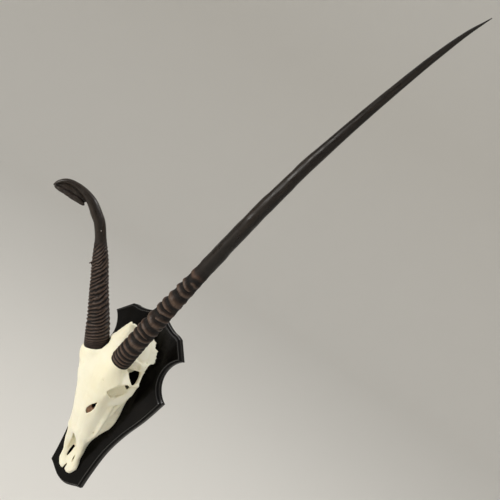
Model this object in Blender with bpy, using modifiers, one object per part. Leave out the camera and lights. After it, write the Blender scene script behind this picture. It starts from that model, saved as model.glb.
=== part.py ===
"""Gemsbok skull mount: a bleached skull with one long straight horn and one short
deformed horn, lying face out on a moulded shield plaque that hangs on a wall.

Metres, +Z up, +X to the viewer's right, the wall on the +Y side. The origin is the
middle of the plaque's flat back face, which lies on the wall at y = 0.
"""

import math

import bmesh
import bpy
from mathutils import Matrix, Vector

MM = 0.001

# ---- driving dimensions (metres) ---------------------------------------------------
GAP = 0.0003  # between pieces that touch

PLAQUE_HALF_HEIGHT = 0.2335
PLAQUE_THICK = 0.018
PLAQUE_SIDE_WALL = 0.0095  # square edge behind the moulding
MOULDING = ((0.0007, 0.0011), (0.0017, 0.0010), (0.0020, 0.0013), (0.0012, 0.0024), (0.0005, 0.0017), (0.0010, 0.0010))
SHOULDER = (0.0795, 0.2080)  # top corners
EAR = (0.1133, 0.1703)  # widest corners above the scallops
WAIST = (0.1260, 0.0670)  # corners below the scallops
FOOT = (0.0548, -0.2130)  # bottom corners
SCALLOP_RADIUS = 0.059

PLATE_LENGTH, PLATE_WIDTH, PLATE_THICK = 0.050, 0.018, 0.0016
PLATE_Z = 0.165
KEY_ENTRY_RADIUS, KEY_SLOT_WIDTH = 0.005, 0.0052
KEY_ENTRY_Z, KEY_SLOT_TOP_Z = 0.1580, 0.1720
HANGER_SCREW_Z = (0.1855, 0.1445)
HANGER_SCREW_SHANK, HANGER_SCREW_HEAD, HANGER_SCREW_LENGTH = 0.0017, 0.0034, 0.0135

SKULL_SCREW_Z = (0.118, -0.078)
SKULL_SCREW_SHANK, SKULL_SCREW_HEAD, SKULL_SCREW_LENGTH = 0.0022, 0.0045, 0.034
SKULL_SCREW_INSET = 0.0015  # head below the plaque's back

SKULL_BACK = -(PLAQUE_THICK + GAP)  # the sawn face that lies on the plaque

HORN_SIDES = 12
LONG_BASE = Vector((0.0393, -0.1170, 0.1232))
LONG_SPLAY = 0.355  # sideways lean, metres per metre of height
# height above the floor of the frame, distance from the wall, radius
LONG_STATIONS = (
    (0.1232, 0.1170, 0.0230), (0.182, 0.1330, 0.0221), (0.241, 0.1470, 0.0208), (0.298, 0.1590, 0.0188),
    (0.353, 0.1700, 0.0170), (0.406, 0.1810, 0.0157), (0.482, 0.1965, 0.0150), (0.555, 0.2090, 0.0145),
    (0.624, 0.2175, 0.0131), (0.690, 0.2210, 0.0116), (0.776, 0.2205, 0.0097), (0.860, 0.2160, 0.0080),
    (0.942, 0.2070, 0.0062), (1.005, 0.1925, 0.0036), (1.048, 0.1745, 0.0007),
)
LONG_RINGS = 22  # growth rings, from the base to about a third of the length
LONG_RINGS_END = 0.372

DEFORMED_BASE = Vector((-0.0400, -0.1175, 0.1185))
# centre line (x, distance from the wall, z), half width seen from the front, half depth
DEFORMED_STATIONS = (
    ((-0.0400, 0.1175, 0.1185), 0.0280, 0.0270), ((-0.0515, 0.1272, 0.1500), 0.0262, 0.0252),
    ((-0.0630, 0.1360, 0.1781), 0.0238, 0.0232), ((-0.0824, 0.1520, 0.2253), 0.0204, 0.0200),
    ((-0.0929, 0.1600, 0.2510), 0.0190, 0.0188), ((-0.1051, 0.1695, 0.2807), 0.0182, 0.0178),
    ((-0.1142, 0.1774, 0.3030), 0.0152, 0.0152), ((-0.1222, 0.1846, 0.3225), 0.0123, 0.0130),
    ((-0.1340, 0.1975, 0.3492), 0.0122, 0.0128), ((-0.1455, 0.2060, 0.3650), 0.0125, 0.0125),
    ((-0.1600, 0.2150, 0.3760), 0.0128, 0.0120), ((-0.1762, 0.2250, 0.3815), 0.0154, 0.0115),
    ((-0.1951, 0.2366, 0.3830), 0.0186, 0.0108), ((-0.2119, 0.2469, 0.3815), 0.0176, 0.0098),
    ((-0.2246, 0.2546, 0.3785), 0.0141, 0.0085), ((-0.2350, 0.2612, 0.3735), 0.0078, 0.0062),
    ((-0.2397, 0.2640, 0.3700), 0.0022, 0.0025),
)
DEFORMED_RINGS = 24
DEFORMED_RINGS_END = 0.205

# skull cage, one row per height: z, then (half width, distance from the wall) from the
# midline of the face round to the sawn edge, in millimetres
SKULL_CAGE = (
    (-200, (0, 23), (7, 23), (13, 22), (16, 20), (15, 14)),
    (-192, (0, 26), (10, 27), (19, 26), (23, 22), (21, 14)),
    (-178, (0, 27), (11, 29), (22, 31), (27, 25), (25, 14)),
    (-158, (0, 25), (9, 27), (20, 36), (27, 28), (23, 14)),
    (-138, (0, 29), (9, 33), (21, 47), (27, 33), (21, 14)),
    (-121, (0, 37), (9, 44), (23, 58), (29, 42), (19, 14)),
    (-109, (0, 56), (11, 60), (25, 64), (32, 45), (21, 14)),
    (-101, (0, 69), (13, 70), (26, 67), (33, 47), (24, 14)),
    (-94, (0, 72), (13, 73), (26, 69), (34, 49), (27, 14)),
    (-75, (0, 79), (14, 79), (28, 73), (37, 50), (38, 14)),
    (-48, (0, 91), (14, 90), (28, 82), (42, 55), (50, 14)),
    (-15, (0, 103), (17, 102), (33, 94), (47, 63), (53, 14)),
    (15, (0, 114), (20, 113), (41, 105), (52, 72), (52, 14)),
    (40, (0, 122), (24, 123), (51, 112), (56, 78), (50, 14)),
    (62, (0, 128), (31, 129), (65, 110), (62, 86), (46, 14)),
    (82, (0, 131), (34, 132), (67, 108), (60, 86), (44, 14)),
    (102, (0, 133), (36, 136), (60, 114), (52, 84), (45, 14)),
    (122, (0, 130), (34, 131), (52, 108), (50, 76), (52, 14)),
    (142, (0, 123), (22, 119), (40, 84), (51, 54), (58, 14)),
    (160, (0, 114), (16, 109), (31, 77), (44, 47), (55, 14)),
    (176, (0, 107), (10, 103), (23, 77), (37, 47), (49, 14)),
    (188, (0, 102), (7, 98), (19, 73), (31, 46), (41, 14)),
    (196, (0, 97), (5, 93), (14, 71), (25, 45), (33, 14)),
)

# ---- helpers ------------------------------------------------------------------------


def clear_scene():
    for obj in list(bpy.data.objects):
        bpy.data.objects.remove(obj, do_unlink=True)
    for name in ("Gemsbok skull mount", "Cutters"):
        if name in bpy.data.collections:
            bpy.data.collections.remove(bpy.data.collections[name])


def collection(name):
    made = bpy.data.collections.new(name)
    bpy.context.scene.collection.children.link(made)
    return made


def material(name, colour, roughness, metallic=0.0):
    made = bpy.data.materials.new(name)
    made.use_nodes = True
    shader = made.node_tree.nodes["Principled BSDF"]
    shader.inputs["Base Color"].default_value = (*colour, 1)
    shader.inputs["Roughness"].default_value = roughness
    shader.inputs["Metallic"].default_value = metallic
    made.diffuse_color = (*colour, 1)
    return made


def mesh_object(name, mesh, where, finish=None):
    obj = bpy.data.objects.new(name, mesh)
    where.objects.link(obj)
    if finish:
        mesh.materials.clear()
        mesh.materials.append(finish)
    return obj


def as_cutter(obj):
    obj.hide_render = True
    obj.display_type = "WIRE"
    return obj


def freeze(obj):
    """The object's evaluated mesh takes the place of its modifiers."""
    bpy.context.view_layer.update()
    evaluated = obj.evaluated_get(bpy.context.evaluated_depsgraph_get())
    mesh = bpy.data.meshes.new_from_object(evaluated)
    obj.modifiers.clear()
    obj.data = mesh
    return obj


def boolean(obj, other, operation):
    modifier = obj.modifiers.new(other.name, "BOOLEAN")
    modifier.operation = operation
    modifier.object = other
    return modifier


def from_bmesh(name, bm, where, finish=None):
    bmesh.ops.recalc_face_normals(bm, faces=bm.faces)
    mesh = bpy.data.meshes.new(name)
    bm.to_mesh(mesh)
    bm.free()
    return mesh_object(name, mesh, where, finish)


def ellipsoid(name, centre, radii, where, turn=(0, 0, 0), segments=24, rings=14):
    bm = bmesh.new()
    bmesh.ops.create_uvsphere(bm, u_segments=segments, v_segments=rings, radius=1.0)
    place = (
        Matrix.Translation(Vector(centre) * MM)
        @ Matrix.Rotation(math.radians(turn[2]), 4, "Z")
        @ Matrix.Rotation(math.radians(turn[1]), 4, "Y")
        @ Matrix.Rotation(math.radians(turn[0]), 4, "X")
        @ Matrix.Diagonal((radii[0] * MM, radii[1] * MM, radii[2] * MM, 1))
    )
    bmesh.ops.transform(bm, matrix=place, verts=bm.verts)
    return from_bmesh(name, bm, where)


def rod(name, start, end, radius, where, radius_end=None, sides=20):
    """A closed cone or cylinder between two points."""
    start, end = Vector(start), Vector(end)
    along = end - start
    bm = bmesh.new()
    bmesh.ops.create_cone(
        bm, cap_ends=True, segments=sides, radius1=radius,
        radius2=radius if radius_end is None else radius_end, depth=along.length,
    )
    place = Matrix.Translation((start + end) / 2) @ along.to_track_quat("Z", "Y").to_matrix().to_4x4()
    bmesh.ops.transform(bm, matrix=place, verts=bm.verts)
    return from_bmesh(name, bm, where)


def tube(name, points, radii, where, resolution=3):
    """A bevelled curve through points (millimetres) with a radius at each, as a closed mesh."""
    curve = bpy.data.curves.new(name, "CURVE")
    curve.dimensions = "3D"
    curve.bevel_depth = MM
    curve.bevel_resolution = resolution
    curve.use_fill_caps = True
    spline = curve.splines.new("POLY")
    smooth = [spline_at(points, i / (4 * (len(points) - 1))) for i in range(4 * (len(points) - 1) + 1)]
    thick = [spline_at([(r,) for r in radii], i / (len(smooth) - 1))[0] for i in range(len(smooth))]
    spline.points.add(len(smooth) - 1)
    for point, where_to, radius in zip(spline.points, smooth, thick):
        point.co = (*[c * MM for c in where_to], 1)
        point.radius = radius
    obj = bpy.data.objects.new(name + "_curve", curve)
    where.objects.link(obj)
    bpy.context.view_layer.update()
    mesh = bpy.data.meshes.new_from_object(obj.evaluated_get(bpy.context.evaluated_depsgraph_get()))
    bm = bmesh.new()
    bm.from_mesh(mesh)
    bmesh.ops.remove_doubles(bm, verts=bm.verts, dist=1e-6)
    bpy.data.objects.remove(obj, do_unlink=True)
    return from_bmesh(name, bm, where)


def spline_at(points, t):
    """Catmull-Rom through the points, t from 0 to 1."""
    n = len(points) - 1
    k = min(int(t * n), n - 1)
    u = t * n - k
    p = [points[min(max(k + j, 0), n)] for j in (-1, 0, 1, 2)]
    return [
        0.5 * (2 * b + (c - a) * u + (2 * a - 5 * b + 4 * c - d) * u * u + (3 * b - a - 3 * c + d) * u**3)
        for a, b, c, d in zip(*p)
    ]


def loft(name, rings, where, finish=None):
    """Closed skin over rings of equal length, with an end face on the first and the last."""
    bm = bmesh.new()
    made = [[bm.verts.new(p) for p in ring] for ring in rings]
    count = len(made[0])
    for low, high in zip(made, made[1:]):
        for i in range(count):
            j = (i + 1) % count
            bm.faces.new((low[i], low[j], high[j], high[i]))
    bm.faces.new(made[0][::-1])
    bm.faces.new(made[-1])
    return from_bmesh(name, bm, where, finish)


def both_sides(make):
    """make(side) for the right (+1) and the left (-1)."""
    return [make(1), make(-1)]


# ---- plaque --------------------------------------------------------------------------


def outline_half():
    """Right half of the shield's outline, top to bottom, as (x, z)."""
    crown = [(0.0, PLAQUE_HALF_HEIGHT), (0.012, 0.2295), (0.026, 0.2225), (0.042, 0.2160), (0.057, 0.2120), (0.069, 0.2112), SHOULDER]
    points = [tuple(spline_at(crown, i / 9)) for i in range(10)]
    # scallop: an arc hollow to the outside, from the ear to the waist
    (x1, z1), (x2, z2) = EAR, WAIST
    chord = math.hypot(x2 - x1, z2 - z1)
    lift = math.sqrt(SCALLOP_RADIUS**2 - chord**2 / 4)
    middle = Vector(((x1 + x2) / 2, (z1 + z2) / 2))
    across = Vector((-(z2 - z1), x2 - x1)).normalized()
    centre = middle + across * lift
    a1 = math.atan2(z1 - centre.y, x1 - centre.x)
    a2 = math.atan2(z2 - centre.y, x2 - centre.x)
    if a2 < a1:
        a2 += 2 * math.pi
    steps = 8
    for i in range(steps + 1):
        a = a1 + (a2 - a1) * i / steps
        points.append((centre.x + SCALLOP_RADIUS * math.cos(a), centre.y + SCALLOP_RADIUS * math.sin(a)))
    flank = [WAIST, (0.1068, 0.0080), (0.0810, -0.0540), (0.0645, -0.1105), (0.0572, -0.1700), FOOT]
    points += [tuple(spline_at(flank, i / 7)) for i in range(1, 8)]
    base = [FOOT, (0.0440, -0.2172), (0.0300, -0.2246), (0.0150, -0.2312), (0.0, -PLAQUE_HALF_HEIGHT)]
    points += [tuple(spline_at(base, i / 5)) for i in range(1, 6)]
    return points


def make_plaque(where, cutters, finish):
    half = outline_half()
    outline = half + [(-x, z) for x, z in half[-2:0:-1]]
    bm = bmesh.new()
    face = bm.faces.new([bm.verts.new((x, 0, z)) for x, z in outline])
    front = bmesh.ops.extrude_face_region(bm, geom=[face])["geom"]
    front_face = next(g for g in front if isinstance(g, bmesh.types.BMFace))
    bmesh.ops.translate(bm, vec=(0, -PLAQUE_SIDE_WALL, 0), verts=front_face.verts)
    bmesh.ops.recalc_face_normals(bm, faces=bm.faces)
    front_face.normal_update()
    for inwards, rise in MOULDING:
        bmesh.ops.inset_region(bm, faces=[front_face], thickness=inwards, depth=0, use_even_offset=True)
        bmesh.ops.translate(bm, vec=(0, -rise, 0), verts=front_face.verts)
    plaque = from_bmesh("plaque", bm, where, finish)

    deep = 0.0015
    tools = []
    plate_pocket = plate_outline("plate_pocket", PLATE_WIDTH / 2 + GAP, PLATE_LENGTH / 2 + GAP, deep + PLATE_THICK - 0.0013, cutters)
    tools.append(plate_pocket)
    # room behind the keyhole for the head of the wall screw
    tools.append(slot_cutter("key_pocket", 0.0066, KEY_ENTRY_Z - 0.001, KEY_SLOT_TOP_Z + 0.001, -0.0098, 0.002, cutters))
    for i, z in enumerate(HANGER_SCREW_Z):
        tools.append(rod(f"hanger_pilot_{i}", (0, 0.002, z), (0, -HANGER_SCREW_LENGTH - 0.0006, z), HANGER_SCREW_SHANK + 2.5 * GAP, cutters, sides=12))
    for i, z in enumerate(SKULL_SCREW_Z):
        tools.append(rod(f"skull_bore_{i}", (0, 0.002, z), (0, -PLAQUE_THICK - 0.002, z), SKULL_SCREW_SHANK + GAP, cutters, sides=16))
        sink = SKULL_SCREW_HEAD + GAP + 0.0004
        depth = SKULL_SCREW_INSET + sink
        tools.append(rod(f"skull_sink_{i}", (0, 0.001, z), (0, -depth - 0.001, z), sink + 0.001 + SKULL_SCREW_INSET, cutters, radius_end=0.0002, sides=16))
    for tool in tools:
        boolean(plaque, as_cutter(tool), "DIFFERENCE")
    return plaque


def plate_outline(name, half_width, half_length, deep, where, y_out=0.002):
    """A slab with round ends, standing along Z, from y_out down to -deep."""
    curve = bpy.data.curves.new(name, "CURVE")
    curve.dimensions = "2D"
    curve.fill_mode = "BOTH"
    curve.extrude = (deep + y_out) / 2
    spline = curve.splines.new("POLY")
    points = []
    for i in range(17):
        a = math.pi * i / 16
        points.append((half_width * math.cos(a), half_length - half_width + half_width * math.sin(a)))
    for i in range(17):
        a = math.pi + math.pi * i / 16
        points.append((half_width * math.cos(a), -(half_length - half_width) + half_width * math.sin(a)))
    spline.points.add(len(points) - 1)
    for point, (x, z) in zip(spline.points, points):
        point.co = (x, z, 0, 1)
    spline.use_cyclic_u = True
    obj = bpy.data.objects.new(name + "_curve", curve)
    where.objects.link(obj)
    obj.rotation_euler = (math.pi / 2, 0, 0)
    obj.location = (0, (y_out - deep) / 2, PLATE_Z)
    bpy.context.view_layer.update()
    mesh = bpy.data.meshes.new_from_object(obj.evaluated_get(bpy.context.evaluated_depsgraph_get()))
    mesh.transform(obj.matrix_world)
    bpy.data.objects.remove(obj, do_unlink=True)
    bm = bmesh.new()
    bm.from_mesh(mesh)
    bmesh.ops.remove_doubles(bm, verts=bm.verts, dist=1e-6)
    return from_bmesh(name, bm, where)


def slot_cutter(name, half_width, z_low, z_high, y_low, y_high, where):
    """A vertical slot with round ends."""
    bm = bmesh.new()
    ring = []
    for i in range(13):
        a = math.pi * i / 12
        ring.append((half_width * math.cos(a), z_high + half_width * math.sin(a)))
    for i in range(13):
        a = math.pi + math.pi * i / 12
        ring.append((half_width * math.cos(a), z_low + half_width * math.sin(a)))
    face = bm.faces.new([bm.verts.new((x, y_low, z)) for x, z in ring])
    moved = bmesh.ops.extrude_face_region(bm, geom=[face])["geom"]
    bmesh.ops.translate(bm, vec=(0, y_high - y_low, 0), verts=[g for g in moved if isinstance(g, bmesh.types.BMVert)])
    return from_bmesh(name, bm, where)


# ---- hanger and screws ------------------------------------------------------------------


def make_plate(where, cutters, finish):
    """Keyhole plate, its outer face 0.1 mm inside the plaque's back."""
    plate = plate_outline("hanger_plate", PLATE_WIDTH / 2, PLATE_LENGTH / 2, 0.0001 + PLATE_THICK, where, y_out=-0.0001)
    plate.data.materials.append(finish)
    tools = [
        rod("key_entry", (0, 0.002, KEY_ENTRY_Z), (0, -0.004, KEY_ENTRY_Z), KEY_ENTRY_RADIUS, cutters, sides=24),
        slot_cutter("key_slot", KEY_SLOT_WIDTH / 2, KEY_ENTRY_Z, KEY_SLOT_TOP_Z, -0.004, 0.002, cutters),
    ]
    for i, z in enumerate(HANGER_SCREW_Z):
        tools.append(rod(f"plate_hole_{i}", (0, 0.002, z), (0, -0.004, z), HANGER_SCREW_SHANK + GAP, cutters, sides=16))
        sink = HANGER_SCREW_HEAD + GAP + 0.0006
        tools.append(rod(f"plate_sink_{i}", (0, 0.001, z), (0, -sink, z), sink + 0.001, cutters, radius_end=0.0001, sides=16))
    for tool in tools:
        boolean(plate, as_cutter(tool), "DIFFERENCE")
    return plate


def make_screw(name, z, face_y, shank, head, length, cutters, where, finish):
    """Countersunk wood screw driven towards -Y: a turned profile, with a cross recess."""
    cone = head - shank
    profile = [(0, 0), (head, 0), (head, 0.0003), (shank, 0.0003 + cone), (shank, length - 2.2 * shank), (0, length)]
    bm = bmesh.new()
    verts = [bm.verts.new((r, 0, -d)) for r, d in profile]
    for a, b in zip(verts, verts[1:]):
        bm.edges.new((a, b))
    mesh = bpy.data.meshes.new(name)
    bm.to_mesh(mesh)
    bm.free()
    screw = mesh_object(name, mesh, where, finish)
    turn = screw.modifiers.new("Screw", "SCREW")
    turn.steps = turn.render_steps = 16
    turn.use_merge_vertices = True
    turn.merge_threshold = 0.00001
    turn.use_normal_calculate = True
    screw.rotation_euler = (-math.pi / 2, 0, 0)
    screw.location = (0, face_y, z)
    for i, turned in enumerate((0, math.pi / 2)):
        bm = bmesh.new()
        bmesh.ops.create_cube(bm, size=1.0)
        bmesh.ops.transform(
            bm,
            matrix=Matrix.Translation((0, face_y, z)) @ Matrix.Rotation(turned, 4, "Y")
            @ Matrix.Diagonal((head * 1.15, 0.0022, head * 0.22, 1)),
            verts=bm.verts,
        )
        boolean(screw, as_cutter(from_bmesh(f"{name}_cross_{i}", bm, cutters)), "DIFFERENCE")
    return screw


# ---- skull --------------------------------------------------------------------------------


def skull_body(where):
    """Smooth closed skin over the cage's rows."""
    rings = []
    for z, *half in SKULL_CAGE:
        right = [(x * MM, -d * MM, z * MM) for x, d in half]
        left = [(-x, y, z_) for x, y, z_ in right[:0:-1]]
        rings.append(right + [(0, -14 * MM, z * MM)] + left)
    body = loft("skull_body", rings, where)
    smooth = body.modifiers.new("Subdivision", "SUBSURF")
    smooth.levels = smooth.render_levels = 2
    return freeze(body)


def horn_axis(side):
    if side > 0:
        return (long_centre(0.03) - long_centre(0.0)).normalized()
    return (deformed_at(0.03)[0] - deformed_at(0.0)[0]).normalized()


def make_skull(where, cutters, finish):
    """Cage body, bars and rims are joined as clay, then the openings are cut."""
    lumps = [skull_body(cutters)]
    for side in (1, -1):
        tag = "r" if side > 0 else "l"

        def at(points):
            return [(side * x, -d, z) for x, d, z in points]

        # cheek bone running back as the zygomatic arch to the braincase
        lumps.append(tube(f"arch_{tag}", at([(46, 50, -4), (55, 53, 20), (63, 55, 42), (67, 55, 64), (68, 53, 84), (66, 50, 100), (58, 46, 116), (50, 42, 132)]), (9, 8, 6, 5, 3.6, 4.2, 6.5, 8), cutters))
        # upper and lower rims of the orbit and the bar behind it
        lumps.append(tube(f"brow_{tag}", at([(38, 98, 34), (46, 100, 46), (55, 97, 61), (62, 91, 73), (66, 80, 78), (67, 67, 79), (67, 55, 76)]), (7.5, 7.5, 7.5, 6.5, 4.6, 4.2, 4.5), cutters))
        lumps.append(tube(f"orbit_floor_{tag}", at([(38, 96, 30), (44, 86, 27), (50, 76, 26), (57, 65, 32), (64, 57, 46)]), (7, 6, 6, 6, 6), cutters))
        # collar of bone round the horn
        axis = horn_axis(side)
        base = LONG_BASE if side > 0 else DEFORMED_BASE
        radius = 0.0225 if side > 0 else 0.0272
        lumps.append(rod(f"collar_{tag}", base - axis * 0.034, base - axis * 0.002, radius + 0.002, cutters, radius_end=radius, sides=32))
        # side wall of the braincase above the ear, level with the arch
        lumps.append(ellipsoid(f"ear_shelf_{tag}", (side * 51, -38, 124), (13, 22, 18), cutters))
        # crest at the back of the head, down to the ear region
        lumps.append(tube(f"crest_{tag}", at([(0, 97, 194), (6, 92, 188), (14, 79, 184), (22, 64, 181), (30, 48, 177), (38, 36, 172), (46, 30, 162), (51, 26, 150), (52, 22, 136)]), (4, 4, 4.5, 4.5, 5, 5.5, 6.5, 7.5, 8), cutters))
        # the two rounded prongs of the muzzle
        lumps.append(ellipsoid(f"prong_{tag}", (side * 12.5, -21.5, -185), (11.5, 8, 19), cutters, turn=(0, -side * 4, 0)))
        # tooth-row side of the upper jaw
        lumps.append(ellipsoid(f"cheek_{tag}", (side * 38, -34, -14), (16, 34, 52), cutters, turn=(8, 0, 0)))
    bpy.context.view_layer.update()
    clay = bpy.data.meshes.new("skull")
    bm = bmesh.new()
    for lump in lumps:
        bm.from_mesh(lump.data)
    bm.to_mesh(clay)
    bm.free()
    for lump in lumps:
        bpy.data.objects.remove(lump, do_unlink=True)
    skull = mesh_object("skull", clay, where, finish)
    remesh = skull.modifiers.new("Remesh", "REMESH")
    remesh.mode = "VOXEL"
    remesh.voxel_size = 0.0021
    relax = skull.modifiers.new("Smooth", "SMOOTH")
    relax.factor = 0.5
    relax.iterations = 4
    freeze(skull)

    tools = []
    for side in (1, -1):
        tag = "r" if side > 0 else "l"
        # eye socket, open sideways
        tools.append(ellipsoid(f"socket_{tag}", (side * 66, -80, 55), (31, 17, 18), cutters, turn=(0, 0, -side * 20), segments=20, rings=12))
        # temporal hollow, open down to the plaque between braincase and arch
        tools.append(ellipsoid(f"temple_{tag}", (side * 44, -52, 86), (14, 47, 21), cutters, turn=(0, 0, side * 17), segments=20, rings=12))
        # gap in the bone in front of the eye, into the nose
        tools.append(ellipsoid(f"tear_gap_{tag}", (side * 26, -98, -12), (4.6, 22, 17), cutters, turn=(-12, side * 14, side * 14), segments=14, rings=8))
        # slots in the palate
        tools.append(ellipsoid(f"palate_slot_{tag}", (side * 7.5, -24, -150), (3.0, 30, 19), cutters, turn=(0, side * 2, 0), segments=14, rings=10))
    # the hollow underside: palate between the tooth rows, and the space below the braincase
    tools.append(ellipsoid("palate_vault", (0, -14, -16), (25, 28, 56), cutters, segments=20, rings=12))
    tools.append(ellipsoid("cranial_vault", (0, -14, 68), (54, 50, 38), cutters, segments=24, rings=14))
    # nose passage, open at the front under the tips of the nasal bones
    tools.append(tube("nose", [(0, -44, -128), (0, -52, -112), (0, -56, -90), (0, -64, -50), (0, -75, -10), (0, -84, 22)], (6, 9.5, 12, 15, 16, 12), cutters, resolution=3))
    # cleft between the prongs
    tools.append(ellipsoid("cleft", (0, -20, -210), (1.6, 24, 26), cutters, segments=12, rings=8))
    for tool in tools:
        boolean(skull, as_cutter(tool), "DIFFERENCE")
    again = skull.modifiers.new("Remesh", "REMESH")
    again.mode = "VOXEL"
    again.voxel_size = 0.0016
    relax = skull.modifiers.new("Smooth", "SMOOTH")
    relax.factor = 0.5
    relax.iterations = 3
    fewer = skull.modifiers.new("Decimate", "DECIMATE")
    fewer.ratio = 0.0195
    freeze(skull)

    # sawn back, horn seats and screw holes are cut sharp
    cuts = []
    bm = bmesh.new()
    bmesh.ops.create_cube(bm, size=1.0)
    bmesh.ops.transform(bm, matrix=Matrix.Translation((0, SKULL_BACK + 0.05, 0)) @ Matrix.Diagonal((0.3, 0.1, 0.6, 1)), verts=bm.verts)
    cuts.append(from_bmesh("saw", bm, cutters))
    for side in (1, -1):
        axis = horn_axis(side)
        base = LONG_BASE if side > 0 else DEFORMED_BASE
        radius = (0.0246 if side > 0 else 0.0304) + GAP
        cuts.append(rod("seat_r" if side > 0 else "seat_l", base - axis * (0.006 + GAP), base + axis * 0.060, radius, cutters, radius_end=radius + 0.002, sides=32))
    for i, z in enumerate(SKULL_SCREW_Z):
        end = SKULL_SCREW_INSET + SKULL_SCREW_LENGTH + GAP
        cuts.append(rod(f"skull_pilot_{i}", (0, SKULL_BACK + 0.004, z), (0, -end, z), SKULL_SCREW_SHANK + GAP, cutters, sides=12))
    for cut in cuts:
        boolean(skull, as_cutter(cut), "DIFFERENCE")
    return skull


# ---- horns ----------------------------------------------------------------------------------


def long_centre(t, with_radius=False):
    d, z = None, LONG_BASE.z + t
    for (z0, d0, r0), (z1, d1, r1) in zip(LONG_STATIONS, LONG_STATIONS[1:]):
        if z <= z1 or z1 == LONG_STATIONS[-1][0]:
            k = LONG_STATIONS.index((z0, d0, r0))
            near = [LONG_STATIONS[min(max(k + j, 0), len(LONG_STATIONS) - 1)] for j in (-1, 0, 1, 2)]
            u = (z - z0) / (z1 - z0)
            slope = lambda a, b, i: (b[i] - a[i]) / max(b[0] - a[0], 1e-9)
            out = []
            for i in (1, 2):
                m0 = slope(near[0], near[2], i) * (z1 - z0)
                m1 = slope(near[1], near[3], i) * (z1 - z0)
                p0, p1 = near[1][i], near[2][i]
                out.append((2 * u**3 - 3 * u**2 + 1) * p0 + (u**3 - 2 * u**2 + u) * m0 + (3 * u**2 - 2 * u**3) * p1 + (u**3 - u**2) * m1)
            d, r = out
            break
    point = Vector((LONG_BASE.x + LONG_SPLAY * t, -d, z))
    return (point, r) if with_radius else point


def circle(centre, along, side_radius, depth_radius, count, lean=None, bulge=0.0):
    """A ring of points round the centre; lean is the direction of the wider axis."""
    along = along.normalized()
    wide = (lean - along * lean.dot(along)).normalized()
    deep = along.cross(wide)
    points = []
    for i in range(count):
        a = 2 * math.pi * i / count
        grow = 1 + bulge * (0.75 + 0.25 * math.cos(a - 2.2))
        points.append(centre + wide * math.cos(a) * side_radius * grow + deep * math.sin(a) * depth_radius * grow)
    return points


def ring_swell(s, count, end, fine=0.55):
    """Swell of the growth rings at distance s: close at the base, wider spaced above."""
    if s <= 0 or s >= end:
        return 0.0
    phase = count * (s / end) ** (1 - 0.18 * fine)
    fade = min(1.0, (end - s) / (0.25 * end))
    return fade * (0.5 - 0.5 * math.cos(2 * math.pi * phase))


def make_long_horn(where, finish):
    top = LONG_STATIONS[-1][0] - LONG_BASE.z
    heights = [-0.0055]
    step = LONG_RINGS_END / LONG_RINGS
    s = 0.0
    while s < LONG_RINGS_END:
        heights.append(s * 0.93)
        s += step / 2
    s = heights[-1]
    while s < top:
        s += 0.034 if s < 0.8 else 0.02
        if s < top - 0.008:
            heights.append(s)
    heights.append(top)
    rings = []
    for t in heights:
        centre, radius = long_centre(max(t, 0), True)
        ahead = long_centre(min(max(t, 0) + 0.004, top))
        behind = long_centre(max(t, 0) - 0.004) if t > 0.004 else centre
        along = (ahead - behind).normalized()
        if t < 0:
            centre = centre + along * t
        swell = 0.14 * ring_swell(t, LONG_RINGS, LONG_RINGS_END)
        rings.append(circle(centre, along, radius * 0.955, radius * 0.955, HORN_SIDES, Vector((1, 0, 0)), swell))
    return loft("horn_long", rings, where, finish)


def deformed_length():
    total, marks = 0.0, [0.0]
    for (a, *_), (b, *_) in zip(DEFORMED_STATIONS, DEFORMED_STATIONS[1:]):
        total += (Vector(b) - Vector(a)).length
        marks.append(total)
    return marks


def deformed_at(s):
    """Centre, half width and half depth at distance s along the deformed horn."""
    marks = deformed_length()
    s = min(max(s, 0.0), marks[-1])
    k = max(i for i in range(len(marks) - 1) if marks[i] <= s)
    rows = [(p[0], -p[1], p[2], w, d) for p, w, d in DEFORMED_STATIONS]
    t = (k + (s - marks[k]) / (marks[k + 1] - marks[k])) / (len(rows) - 1)
    x, y, z, w, d = spline_at(rows, min(t, 1.0))
    return Vector((x, y, z)), w, d


def make_deformed_horn(where, finish):
    total = deformed_length()[-1]
    places = [-0.0055]
    step = DEFORMED_RINGS_END / DEFORMED_RINGS
    s = 0.0
    while s < DEFORMED_RINGS_END:
        places.append(s)
        s += step / 2
    while s < total:
        places.append(s)
        s += 0.009
    places.append(total)
    rings = []
    for s in places:
        centre, half_width, half_depth = deformed_at(max(s, 0))
        along = (deformed_at(max(s, 0) + 0.004)[0] - deformed_at(max(s, 0) - 0.004)[0]).normalized()
        if s < 0:
            centre = centre + along * s
        lean = Vector((1, -0.3, 0)) if s < 0.23 else Vector((1, -0.3, 0)).lerp(Vector((0.0, 0.0, 1.0)), min(1.0, (s - 0.23) / 0.06))
        swell = 0.12 * ring_swell(s, DEFORMED_RINGS, DEFORMED_RINGS_END, 0.2)
        rings.append(circle(centre, along, half_width * 0.96, half_depth * 0.96, HORN_SIDES, lean, swell))
    return loft("horn_deformed", rings, where, finish)


# ---- build ----------------------------------------------------------------------------------


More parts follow.
